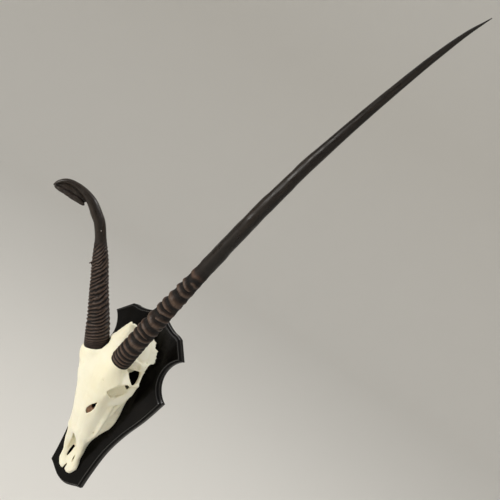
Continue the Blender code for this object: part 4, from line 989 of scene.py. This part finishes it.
# how far in from the outline and how far from the wall, from the back round the moulding to the face
MOULDING = (
    (0.45, 0.0), (0.12, 0.12), (0.0, 0.45), (0.0, 3.0), (0.0, 6.0), (0.0, 8.7), (0.10, 9.15), (0.38, 9.55), (0.80, 9.78), (1.30, 9.86),
    (1.50, 9.98), (1.62, 10.25), (1.72, 10.75), (1.98, 11.35), (2.42, 11.90), (3.00, 12.32), (3.62, 12.62), (4.18, 12.98),
    (4.62, 13.48), (4.90, 14.10), (5.04, 14.80), (5.10, 15.60), (5.16, 16.15), (5.34, 16.55), (5.66, 16.80), (5.98, 16.88),
    (6.14, 16.98), (6.22, 17.20), (6.36, 17.52), (6.66, 17.80), (7.06, 17.95), (7.55, 18.0),
)


def catmull(points, t):
    n = len(points) - 1
    k = min(int(t * n), n - 1)
    u = t * n - k
    p = [points[min(max(k + j, 0), n)] for j in (-1, 0, 1, 2)]
    return [0.5 * (2 * b + (c - a) * u + (2 * a - 5 * b + 4 * c - d) * u * u + (3 * b - a - 3 * c + d) * u**3) for a, b, c, d in zip(*p)]


def shield_sides():
    """The right half of the outline as smooth runs between corners, top to bottom."""
    top = (0.0, 233.5)
    crown = [top, (12, 229.5), (26, 222.5), (42, 216), (57, 212), (69, 211.2), SHOULDER]
    runs = [[catmull(crown, i / 60) for i in range(61)], [SHOULDER, EAR]]
    (x1, z1), (x2, z2) = EAR, WAIST
    chord = math.hypot(x2 - x1, z2 - z1)
    lift = math.sqrt(SCALLOP_RADIUS**2 - chord**2 / 4)
    cx = (x1 + x2) / 2 - (z2 - z1) / chord * lift
    cz = (z1 + z2) / 2 + (x2 - x1) / chord * lift
    a1, a2 = math.atan2(z1 - cz, x1 - cx), math.atan2(z2 - cz, x2 - cx)
    if a2 < a1:
        a2 += 2 * math.pi
    runs.append([(cx + SCALLOP_RADIUS * math.cos(a1 + (a2 - a1) * i / 70), cz + SCALLOP_RADIUS * math.sin(a1 + (a2 - a1) * i / 70)) for i in range(71)])
    flank = [WAIST, (106.8, 8), (81, -54), (64.5, -110.5), (57.2, -170), FOOT]
    runs.append([catmull(flank, i / 80) for i in range(81)])
    base = [FOOT, (44, -217.2), (30, -224.6), (15, -231.2), (0, -233.5)]
    runs.append([catmull(base, i / 40) for i in range(41)])
    return [np.array(r, float) for r in runs]


def offset_run(run, inset):
    """The run moved inwards (to the left when going down the right side), its ends carried on straight."""
    d = np.gradient(run, axis=0)
    d /= np.linalg.norm(d, axis=1)[:, None]
    normal = np.stack([d[:, 1], -d[:, 0]], 1)  # going down the right side, this points left
    moved = run + normal * inset
    first, last = moved[0] - d[0] * 14, moved[-1] + d[-1] * 14
    return np.concatenate([[first], moved, [last]])


def meet(a, b):
    """Where two polylines cross: index and share along each, and the point. Nearest to a's end and b's start."""
    best = None
    for i in range(len(a) - 2, -1, -1):
        p, r = a[i], a[i + 1] - a[i]
        q, s = b[:-1], b[1:] - b[:-1]
        den = r[0] * s[:, 1] - r[1] * s[:, 0]
        den = np.where(np.abs(den) < 1e-12, 1e-12, den)
        t = ((q - p)[:, 0] * s[:, 1] - (q - p)[:, 1] * s[:, 0]) / den
        u = ((q - p)[:, 0] * r[1] - (q - p)[:, 1] * r[0]) / den
        ok = (t >= 0) & (t <= 1) & (u >= 0) & (u <= 1)
        if ok.any():
            j = int(np.argmax(ok))
            best = (i + t[j], j + u[j], p + t[j] * r)
            break
    return best


def shield_ring(inset, counts, runs):
    moved = [offset_run(r, inset) for r in runs]
    ends = [meet(a, b) for a, b in zip(moved, moved[1:])]
    # the first and last runs meet their mirror images on the midline
    first, last = moved[0], moved[-1]
    axis = np.array([[0.0, 260.0], [0.0, 0.0], [0.0, -260.0]])
    top = meet(axis, first[: len(first) // 2 + 2])
    foot = meet(last, axis)
    starts = [top[1]] + [e[1] for e in ends]
    stops = [e[0] for e in ends] + [foot[0]]
    half = []
    for k, (run, a, b, n) in enumerate(zip(moved, starts, stops, counts)):
        index = np.arange(len(run))
        inner = index[(index > a) & (index < b)]
        knots = np.concatenate([[a], inner, [b]])
        pts = np.stack([np.interp(knots, index, run[:, c]) for c in (0, 1)], 1)
        length = np.concatenate([[0], np.cumsum(np.linalg.norm(np.diff(pts, axis=0), axis=1))])
        at = np.linspace(0, length[-1], n + 1)
        pts = np.stack([np.interp(at, length, pts[:, c]) for c in (0, 1)], 1)
        half.append(pts if k == 0 else pts[1:])
    half = np.concatenate(half)
    half[0, 0] = half[-1, 0] = 0.0
    return np.concatenate([half, half[-2:0:-1] * [-1, 1]])


def cutter(name, bm):
    bmesh.ops.recalc_face_normals(bm, faces=bm.faces)
    mesh = bpy.data.meshes.new(name)
    bm.to_mesh(mesh)
    bm.free()
    obj = bpy.data.objects.new(name, mesh)
    bpy.context.scene.collection.objects.link(obj)
    return obj


def cone_cutter(name, y0, y1, z, r0, r1, sides=48):
    bm = bmesh.new()
    bmesh.ops.create_cone(bm, cap_ends=True, segments=sides, radius1=r0, radius2=r1, depth=abs(y1 - y0))
    bmesh.ops.transform(bm, matrix=Matrix.Translation((0, (y0 + y1) / 2, z)) @ Matrix.Rotation(math.pi / 2, 4, "X"), verts=bm.verts)
    return cutter(name, bm)


def slot_cutter(name, half_width, z_low, z_high, y_low, y_high, steps=24):
    bm = bmesh.new()
    ring = []
    for i in range(steps + 1):
        a = math.pi * i / steps
        ring.append((half_width * math.cos(a), z_high + half_width * math.sin(a)))
    for i in range(steps + 1):
        a = math.pi + math.pi * i / steps
        ring.append((half_width * math.cos(a), z_low + half_width * math.sin(a)))
    face = bm.faces.new([bm.verts.new((x, y_low, z)) for x, z in ring])
    moved = bmesh.ops.extrude_face_region(bm, geom=[face])["geom"]
    bmesh.ops.translate(bm, vec=(0, y_high - y_low, 0), verts=[g for g in moved if isinstance(g, bmesh.types.BMVert)])
    return cutter(name, bm)


def make_plaque():
    runs = shield_sides()
    counts = [56, 26, 70, 150, 40]
    rings = [(shield_ring(inset, counts, runs), h) for inset, h in MOULDING]
    bm = bmesh.new()
    made = [[bm.verts.new((x * MM, -h * MM, z * MM)) for x, z in ring] for ring, h in rings]
    n = len(made[0])
    for low, high in zip(made, made[1:]):
        for i in range(n):
            j = (i + 1) % n
            bm.faces.new((low[i], low[j], high[j], high[i]))
    bm.faces.new(made[0][::-1])
    bm.faces.new(made[-1])
    bmesh.ops.recalc_face_normals(bm, faces=bm.faces)
    mesh = bpy.data.meshes.new("plaque_shield")
    bm.to_mesh(mesh)
    bm.free()
    plaque = bpy.data.objects.new("plaque_shield", mesh)
    bpy.context.scene.collection.objects.link(plaque)
    # the recess for the hanger plate, the room behind its keyhole, and the screw holes
    tools = [
        slot_cutter("cut_plate", 0.0093, 0.165 - 0.0253 + 0.0093, 0.165 + 0.0253 - 0.0093, -0.0018, 0.002),
        slot_cutter("cut_key", 0.0066, 0.157, 0.173, -0.0098, 0.002),
    ]
    for i, z in enumerate((0.1855, 0.1445)):
        tools.append(cone_cutter(f"cut_pilot_{i}", 0.002, -0.0141, z, 0.00245, 0.00245, 32))
    for i, z in enumerate((0.118, -0.078)):
        tools.append(cone_cutter(f"cut_bore_{i}", 0.002, -0.020, z, 0.0025, 0.0025, 40))
        tools.append(cone_cutter(f"cut_sink_{i}", 0.001, -0.0077, z, 0.0077, 0.0002, 48))
    for tool in tools:
        modifier = plaque.modifiers.new(tool.name, "BOOLEAN")
        modifier.operation = "DIFFERENCE"
        modifier.object = tool
    bpy.context.view_layer.update()
    mesh = bpy.data.meshes.new_from_object(plaque.evaluated_get(bpy.context.evaluated_depsgraph_get()))
    plaque.modifiers.clear()
    plaque.data = mesh
    for tool in tools:
        bpy.data.objects.remove(tool, do_unlink=True)
    # the arrises of the moulding, where the lacquer is rubbed thin and a painted highlight is laid along them as a pale
    # line
    spot = np.array([v.co for v in mesh.vertices]) / MM
    high = -spot[:, 1]
    hidden = (np.abs(spot[:, 0]) < 12) & (np.abs(spot[:, 2] - 165) < 40)
    bead_wear_and_sheen = np.where((high > 15.9) & (high < 17.1), 1.0, np.where((high > 9.1) & (high < 10.1), 0.6, 0.0)) * ~hidden
    mesh.attributes.new("bead_wear_and_sheen", "FLOAT", "POINT").data.foreach_set("value", bead_wear_and_sheen.astype(np.float32))
    mesh.shade_smooth()
    mesh.set_sharp_from_angle(angle=math.radians(38))
    return plaque

CHIP = (-0.1190, -0.1990, 0.3379)

# ---- materials -----------------------------------------------------------------------------


class Nodes:
    def __init__(self, name):
        self.material = bpy.data.materials.new(name)
        self.material.use_nodes = True
        self.tree = self.material.node_tree
        self.shader = self.tree.nodes["Principled BSDF"]

    def put(self, socket, value):
        if isinstance(value, bpy.types.NodeSocket):
            self.tree.links.new(value, socket)
        elif value is not None:
            if hasattr(socket.default_value, "__len__") and not hasattr(value, "__len__"):
                value = [value] * len(socket.default_value)
            if hasattr(value, "__len__") and len(value) == 3 and len(socket.default_value) == 4:
                value = (*value, 1)
            socket.default_value = value

    def node(self, kind, **settings):
        made = self.tree.nodes.new(kind)
        for key, value in settings.items():
            setattr(made, key, value)
        return made

    def set(self, **values):
        for key, value in values.items():
            self.put(self.shader.inputs[key.replace("_", " ")], value)

    def where(self):
        return self.node("ShaderNodeTexCoord").outputs["Object"]

    def attribute(self, name):
        return self.node("ShaderNodeAttribute", attribute_name=name).outputs["Fac"]

    def vector(self, x, y, z):
        made = self.node("ShaderNodeCombineXYZ")
        for socket, value in zip(made.inputs, (x, y, z)):
            self.put(socket, value)
        return made.outputs[0]

    def scaled(self, vector, scale, turn=(0, 0, 0)):
        made = self.node("ShaderNodeMapping")
        self.put(made.inputs["Vector"], vector)
        made.inputs["Scale"].default_value = scale
        made.inputs["Rotation"].default_value = turn
        return made.outputs[0]

    def noise(self, vector, scale, detail=3.0, rough=0.55, warp=0.0):
        made = self.node("ShaderNodeTexNoise")
        self.put(made.inputs["Vector"], vector)
        made.inputs["Scale"].default_value = scale
        made.inputs["Detail"].default_value = detail
        made.inputs["Roughness"].default_value = rough
        made.inputs["Distortion"].default_value = warp
        return made.outputs[0]

    def cells(self, vector, scale, feature="F1"):
        made = self.node("ShaderNodeTexVoronoi", feature=feature)
        self.put(made.inputs["Vector"], vector)
        made.inputs["Scale"].default_value = scale
        return made.outputs["Distance"]

    def span(self, value, a, b, c=0.0, d=1.0, smooth=True):
        made = self.node("ShaderNodeMapRange", interpolation_type="SMOOTHSTEP" if smooth else "LINEAR")
        for socket, v in zip(list(made.inputs)[:5], (value, a, b, c, d)):
            self.put(socket, v)
        return made.outputs[0]

    def math(self, kind, a, b=None):
        made = self.node("ShaderNodeMath", operation=kind)
        self.put(made.inputs[0], a)
        if b is not None:
            self.put(made.inputs[1], b)
        return made.outputs[0]

    def mix(self, factor, a, b, kind="MIX"):
        made = self.node("ShaderNodeMix", data_type="RGBA", blend_type=kind)
        self.put(made.inputs[0], factor)
        self.put(made.inputs[6], a)
        self.put(made.inputs[7], b)
        return made.outputs[2]

    def bump(self, height, strength, distance, normal=None):
        made = self.node("ShaderNodeBump")
        made.inputs["Strength"].default_value = strength
        made.inputs["Distance"].default_value = distance
        self.put(made.inputs["Height"], height)
        if normal is not None:
            self.put(made.inputs["Normal"], normal)
        return made.outputs[0]


def srgb(r, g, b):
    return tuple(c / 255 / 12.92 if c / 255 <= 0.04045 else ((c / 255 + 0.055) / 1.055) ** 2.4 for c in (r, g, b))


def bone_material():
    m = Nodes("bleached_bone")
    p = m.where()
    hollow = m.attribute("hollow")
    deep = m.attribute("deep")
    cloud = m.noise(p, 11, 3, 0.5, 0.4)
    patch = m.noise(p, 34, 4, 0.6, 0.6)
    grain = m.noise(m.scaled(p, (1.0, 1.0, 0.22)), 420, 4, 0.62)
    colour = m.mix(m.span(cloud, 0.38, 0.66), srgb(238, 234, 212), srgb(233, 227, 200))
    colour = m.mix(m.span(patch, 0.56, 0.78, 0, 0.30), colour, srgb(218, 208, 174))
    # chalky bleached bloom on what stands out
    colour = m.mix(m.span(hollow, 0.02, -0.35, 0, 0.5), colour, srgb(244, 242, 228))
    # bone grain, and pores in some places
    colour = m.mix(m.span(grain, 0.55, 0.75, 0, 0.10), colour, srgb(200, 186, 148))
    pores = m.cells(p, 820)
    porous = m.math("MULTIPLY", m.span(pores, 0.16, 0.05), m.span(m.noise(p, 60, 2), 0.60, 0.70, 0, 0.5))
    colour = m.mix(porous, colour, srgb(158, 138, 100))
    # seams between the bones: a hair's breadth of old dirt, broken here and there
    seam = m.math("MULTIPLY", m.span(m.attribute("seam"), 0.25, 0.8), m.span(m.noise(p, 140, 3, 0.6), 0.42, 0.66, 0.0, 0.26))
    colour = m.mix(seam, colour, srgb(176, 160, 120))
    # painted shade: darker tan in hollows, at the edges of openings and insides, broken up by noise
    recess_shade = m.math("MULTIPLY", m.span(hollow, 0.14, 0.72), m.span(m.noise(p, 95, 3, 0.6), 0.25, 0.62, 0.45, 1.0))
    colour = m.mix(m.math("MULTIPLY", recess_shade, 0.5), colour, srgb(178, 162, 118))
    # painted shade: olive in deeper hollows, dark brown where the hollows are deepest
    colour = m.mix(m.span(deep, 0.45, 0.85, 0, 0.5), colour, srgb(166, 154, 118))
    colour = m.mix(m.span(deep, 0.90, 1.22, 0, 0.93), colour, srgb(62, 43, 26))
    # walls of the nose seen through the gaps in front of the eyes: brown, painted near-black as shade where they lie
    # deep
    inside = m.attribute("inside")
    colour = m.mix(m.span(inside, 0.1, 0.9, 0, 0.94), colour, m.mix(m.span(m.noise(p, 160, 3), 0.35, 0.65), srgb(142, 102, 74), srgb(110, 74, 50)))
    colour = m.mix(m.span(inside, 1.1, 1.8, 0, 0.97), colour, srgb(20, 13, 9))
    m.set(Base_Color=colour)
    m.put(m.shader.inputs["Roughness"], m.span(m.noise(p, 130, 3), 0.3, 0.7, 0.48, 0.66))
    height = m.math("ADD", m.math("MULTIPLY", grain, 0.5), m.math("MULTIPLY", m.noise(p, 150, 4, 0.6), 0.9))
    height = m.math("SUBTRACT", height, m.math("MULTIPLY", porous, 0.9))
    m.set(Normal=m.bump(height, 0.22, 0.0008))
    m.shader.inputs["Specular IOR Level"].default_value = 0.35
    m.shader.inputs["Subsurface Weight"].default_value = 0.10
    m.shader.inputs["Subsurface Radius"].default_value = (1.0, 0.65, 0.38)
    m.shader.inputs["Subsurface Scale"].default_value = 0.0018
    return m.material


def horn_material(name, ragged=False):
    m = Nodes(name)
    p = m.where()
    ridge, crease, along, ringed = (m.attribute(k) for k in ("ridge", "crease", "along", "ringed"))
    turn = m.vector(m.attribute("round_x"), m.attribute("round_y"), m.math("MULTIPLY", along, 0.10))
    fibre = m.noise(turn, 420, 4, 0.62)
    band = m.noise(turn, 90, 3, 0.55)
    flake = m.noise(p, 260, 4, 0.65)
    cloud = m.noise(p, 26, 3, 0.55, 0.5)
    # ringed part: near-black furrows and valleys (painted shade with some dirt), dark brown flanks, grey-brown crests
    # that are worn and carry a painted highlight, with a red cast in places
    body = m.mix(m.span(cloud, 0.42, 0.66), srgb(40, 28, 21), srgb(52, 37, 28))
    red = m.math("MULTIPLY", m.span(m.noise(p, 17, 2), 0.50, 0.66), m.span(ridge, 0.15, 0.6))
    body = m.mix(m.math("MULTIPLY", red, 0.4), body, srgb(68, 42, 31))
    # painted highlight with wear: the crests lighter grey-brown
    crest_wear_and_highlight = m.math("MULTIPLY", m.span(ridge, 0.42, 0.92), m.span(fibre, 0.35, 0.62, 0.45, 1.0))
    body = m.mix(m.math("MULTIPLY", crest_wear_and_highlight, 0.46 if ragged else 0.66), body, srgb(99, 81, 68))
    # painted shade with dirt: near-black in the valleys between rings and along the furrows
    valley_dirt_and_shade = m.math("MULTIPLY", m.span(ridge, 0.44, 0.08), m.span(m.noise(p, 48, 3), 0.3, 0.7, 0.95, 0.62))
    body = m.mix(valley_dirt_and_shade, body, srgb(17, 11, 8))
    body = m.mix(m.span(crease, 0.12, 0.8, 0, 0.92), body, srgb(9, 6, 5))
    # smooth part: black with faint brown streaks along it, and browner on the deformed horn
    tones = (srgb(28, 21, 15), srgb(42, 32, 24)) if ragged else (srgb(18, 13, 9), srgb(29, 22, 16))
    smooth = m.mix(m.span(band, 0.38, 0.64), *tones)
    smooth = m.mix(m.span(fibre, 0.52, 0.76, 0, 0.30), smooth, srgb(54, 44, 34))
    smooth = m.mix(m.span(m.noise(turn, 45, 2), 0.55, 0.72, 0, 0.45), smooth, srgb(44, 34, 25))
    colour = m.mix(m.span(ringed, 0.1, 0.9), smooth, body)
    colour = m.mix(m.span(flake, 0.62, 0.80, 0, 0.18), colour, srgb(104, 90, 80))
    colour = m.mix(m.span(m.noise(turn, 900, 2), 0.60, 0.72, 0, 0.35), colour, srgb(14, 10, 8))
    if ragged:
        tatter = m.attribute("ragged")
        layered = m.noise(m.scaled(p, (1, 1, 2.4), (0.3, 0.5, 0.2)), 150, 4, 0.66, 0.8)
        torn = m.mix(m.span(layered, 0.40, 0.62), srgb(24, 18, 15), srgb(50, 40, 34))
        torn = m.mix(m.span(m.noise(p, 70, 2), 0.54, 0.68, 0, 0.5), torn, srgb(44, 40, 31))
        colour = m.mix(m.math("MULTIPLY", tatter, 0.85), colour, torn)
        # painted shade: near-black in the cupped hollow of the hook
        colour = m.mix(m.span(m.attribute("hollow"), 0.12, 0.60, 0, 0.92), colour, srgb(9, 7, 6))
        # a pale chip on the stem
        spot = m.node("ShaderNodeVectorMath", operation="DISTANCE")
        m.put(spot.inputs[0], p)
        spot.inputs[1].default_value = CHIP
        chip = m.span(m.math("ADD", spot.outputs["Value"], m.math("MULTIPLY", m.noise(p, 900, 2), 0.0012)), 0.0021, 0.0014)
        colour = m.mix(chip, colour, srgb(168, 160, 150))
    m.set(Base_Color=colour)
    rough = m.math("ADD", m.span(fibre, 0.3, 0.7, 0.40, 0.54), m.math("MULTIPLY", ringed, m.span(ridge, 0.5, 0.1, 0.0, 0.28)))
    rough = m.math("ADD", rough, m.span(m.noise(p, 60, 2), 0.35, 0.7, -0.04, 0.10))
    rough = m.math("SUBTRACT", rough, m.span(ringed, 0.9, 0.1, 0, 0.16))
    m.put(m.shader.inputs["Roughness"], rough)
    height = m.math("ADD", m.math("MULTIPLY", fibre, 1.0), m.math("MULTIPLY", flake, 0.5))
    m.set(Normal=m.bump(height, 0.34, 0.0007))
    m.shader.inputs["Specular IOR Level"].default_value = 0.24
    m.shader.inputs["IOR"].default_value = 1.54
    return m.material


def lacquer_material():
    m = Nodes("black_lacquer")
    p = m.where()
    wood = m.noise(m.scaled(p, (1.0, 1.0, 0.06)), 240, 4, 0.6, 0.3)
    cloud = m.noise(p, 14, 2)
    colour = m.mix(m.span(cloud, 0.4, 0.68), srgb(6, 5, 4), srgb(10, 8, 6))
    colour = m.mix(m.span(wood, 0.56, 0.74, 0, 0.35), colour, srgb(15, 11, 8))
    dust = m.math("MULTIPLY", m.span(m.cells(p, 520), 0.07, 0.03), m.span(m.noise(p, 40, 2), 0.5, 0.66, 0, 0.35))
    colour = m.mix(dust, colour, srgb(70, 64, 56))
    bead_wear_and_sheen = m.span(m.attribute("bead_wear_and_sheen"), 0.1, 0.9)
    # painted highlight with wear: a pale line along the moulding's arrises, with a glossier coat there
    colour = m.mix(m.math("MULTIPLY", bead_wear_and_sheen, m.span(m.noise(p, 30, 3), 0.35, 0.7, 0.25, 0.6)), colour, srgb(62, 58, 53))
    m.set(Base_Color=colour)
    wipe = m.noise(m.scaled(p, (1.0, 1.0, 0.25), (0, 0.5, 0)), 60, 3)
    m.put(m.shader.inputs["Roughness"], m.math("SUBTRACT", m.span(wipe, 0.35, 0.7, 0.16, 0.27), m.math("MULTIPLY", bead_wear_and_sheen, 0.06)))
    height = m.math("ADD", m.math("MULTIPLY", wood, 0.35), m.noise(p, 90, 2))
    m.set(Normal=m.bump(height, 0.08, 0.0008))
    m.shader.inputs["Specular IOR Level"].default_value = 0.08
    m.put(m.shader.inputs["Coat Weight"], m.span(bead_wear_and_sheen, 0.0, 1.0, 0.06, 0.95, False))
    m.shader.inputs["Coat Roughness"].default_value = 0.06
    return m.material


def steel_material():
    m = Nodes("zinc_plated_steel")
    p = m.where()
    brushed = m.noise(m.scaled(p, (1.0, 1.0, 0.03)), 1500, 3, 0.6)
    spangle = m.noise(p, 220, 2)
    colour = m.mix(m.span(spangle, 0.35, 0.68), srgb(188, 188, 186), srgb(206, 205, 200))
    colour = m.mix(m.span(m.noise(p, 420, 3, 0.6), 0.62, 0.74, 0, 0.4), colour, srgb(150, 143, 128))
    m.set(Base_Color=colour, Metallic=1.0)
    m.put(m.shader.inputs["Roughness"], m.span(brushed, 0.3, 0.7, 0.26, 0.42))
    m.set(Normal=m.bump(brushed, 0.15, 0.0002))
    return m.material


def stage_material():
    m = Nodes("pale_floor")
    m.set(Base_Color=m.mix(m.span(m.noise(m.where(), 300, 2), 0.35, 0.7), srgb(224, 221, 215), srgb(227, 224, 218)), Roughness=0.9)
    m.shader.inputs["Specular IOR Level"].default_value = 0.1
    return m.material

# ---- camera --------------------------------------------------------------------------------
YAW, PITCH_ANGLE, ROLL = 0.4750263153576506, -0.05794745580957338, -0.5451847500418975


def camera_axes():
    cy, sy, cp, sp = math.cos(YAW), math.sin(YAW), math.cos(PITCH_ANGLE), math.sin(PITCH_ANGLE)
    look = Vector((-sy * cp, cy * cp, sp))
    right = Vector((cy, sy, 0))
    up = right.cross(look)
    cr, sr = math.cos(ROLL), math.sin(ROLL)
    return cr * right - sr * up, sr * right + cr * up, look


right, up, look = camera_axes()
camera_data = bpy.data.cameras.new("camera")
camera_data.sensor_width = 36.0
camera_data.lens = 46.8023009
camera_data.clip_end = 60.0
camera = bpy.data.objects.new("camera", camera_data)
bpy.context.scene.collection.objects.link(camera)
turn = Matrix((right, up, -look)).transposed().to_4x4()
camera.matrix_world = Matrix.Translation((0.7679823012461442, -1.2858107054799472, 0.5471416314389785)) @ turn
bpy.context.scene.camera = camera

# ---- the pieces ------------------------------------------------------------------------------
bone = bone_material()
keratin = horn_material("horn_keratin")
keratin_bent = horn_material("horn_keratin_deformed", ragged=True)
lacquer = lacquer_material()
steel = steel_material()


def finish_piece(obj, node, material):
    obj.data.materials.clear()
    obj.data.materials.append(material)
    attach(obj, "root")
    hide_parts(node)


points, quads, marks = skull_mesh()
skull = make_mesh("skull_bone", points, quads, attributes=marks)
finish_piece(skull, "skull", bone)

points, quads, marks, rows, count = long_horn()
horn = capped(make_mesh("horn_long_sheath", points, quads, attributes=marks), rows, count)
finish_piece(horn, "horn_long", keratin)

points, quads, marks = deformed_horn()
bent = make_mesh("horn_deformed_sheath", points, quads, attributes=marks)
finish_piece(bent, "horn_deformed", keratin_bent)

finish_piece(make_plaque(), "plaque", lacquer)

for name in ("hanger_plate", "hanger_screw_top", "hanger_screw_bottom", "skull_screw_top", "skull_screw_bottom"):
    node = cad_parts[name]
    node.data.materials.clear()
    node.data.materials.append(steel)

# ---- floor and light ---------------------------------------------------------------------------


def bowl(radius, curve, height, floor):
    """A round floor whose edge curves up into a far wall, so that no line shows behind the object."""
    profile = [(0.0, 0.0), (radius - curve, 0.0)]
    profile += [(radius - curve + curve * math.sin(a), curve - curve * math.cos(a)) for a in (math.pi / 2 * i / 16 for i in range(1, 17))]
    profile.append((radius, height))
    bm = bmesh.new()
    sides = 96
    centre = bm.verts.new((0, 0, floor))
    rings = [[bm.verts.new((r * math.cos(2 * math.pi * i / sides), r * math.sin(2 * math.pi * i / sides), floor + z)) for i in range(sides)] for r, z in profile[1:]]
    for i in range(sides):
        bm.faces.new((centre, rings[0][i], rings[0][(i + 1) % sides]))
    for low, high in zip(rings, rings[1:]):
        for i in range(sides):
            j = (i + 1) % sides
            bm.faces.new((low[i], high[i], high[j], low[j]))
    bmesh.ops.recalc_face_normals(bm, faces=bm.faces)
    bmesh.ops.reverse_faces(bm, faces=bm.faces)
    mesh = bpy.data.meshes.new("floor")
    bm.to_mesh(mesh)
    bm.free()
    mesh.shade_smooth()
    obj = bpy.data.objects.new("floor", mesh)
    bpy.context.scene.collection.objects.link(obj)
    obj.data.materials.append(stage_material())


bowl(11.0, 4.0, 8.2, -0.62)

world = bpy.data.worlds.new("studio")
world.use_nodes = True
world.node_tree.nodes["Background"].inputs["Color"].default_value = (0.97, 0.97, 0.96, 1)
world.node_tree.nodes["Background"].inputs["Strength"].default_value = 0.72
bpy.context.scene.world = world
bpy.context.scene.view_settings.view_transform = "Standard"

aim = Vector((0.02, -0.12, 0.15))


def soft_light(name, towards, distance, size, power, colour=(1, 1, 1), size_y=None, target=aim):
    """towards: how far right, up and to the camera of the photograph it stands."""
    data = bpy.data.lights.new(name, "AREA")
    data.shape = "RECTANGLE"
    data.size, data.size_y = size, size_y or size
    data.energy = power
    data.color = colour
    light = bpy.data.objects.new(name, data)
    bpy.context.scene.collection.objects.link(light)
    direction = (right * towards[0] + up * towards[1] - look * towards[2]).normalized()
    light.location = target + direction * distance
    light.rotation_euler = (-direction).to_track_quat("-Z", "Y").to_euler()
    return light


soft_light("key", (-0.80, 0.76, 0.95), 2.6, 1.2, 45, (1.0, 0.975, 0.93))
soft_light("fill", (0.9, -0.15, 1.0), 3.2, 2.4, 8, (0.95, 0.97, 1.0))
soft_light("rim", (0.95, 0.75, -0.10), 2.6, 0.30, 22, (1.0, 1.0, 1.0))

# ---- end -----------------------------------------------------------------------------------
bpy.context.view_layer.update()
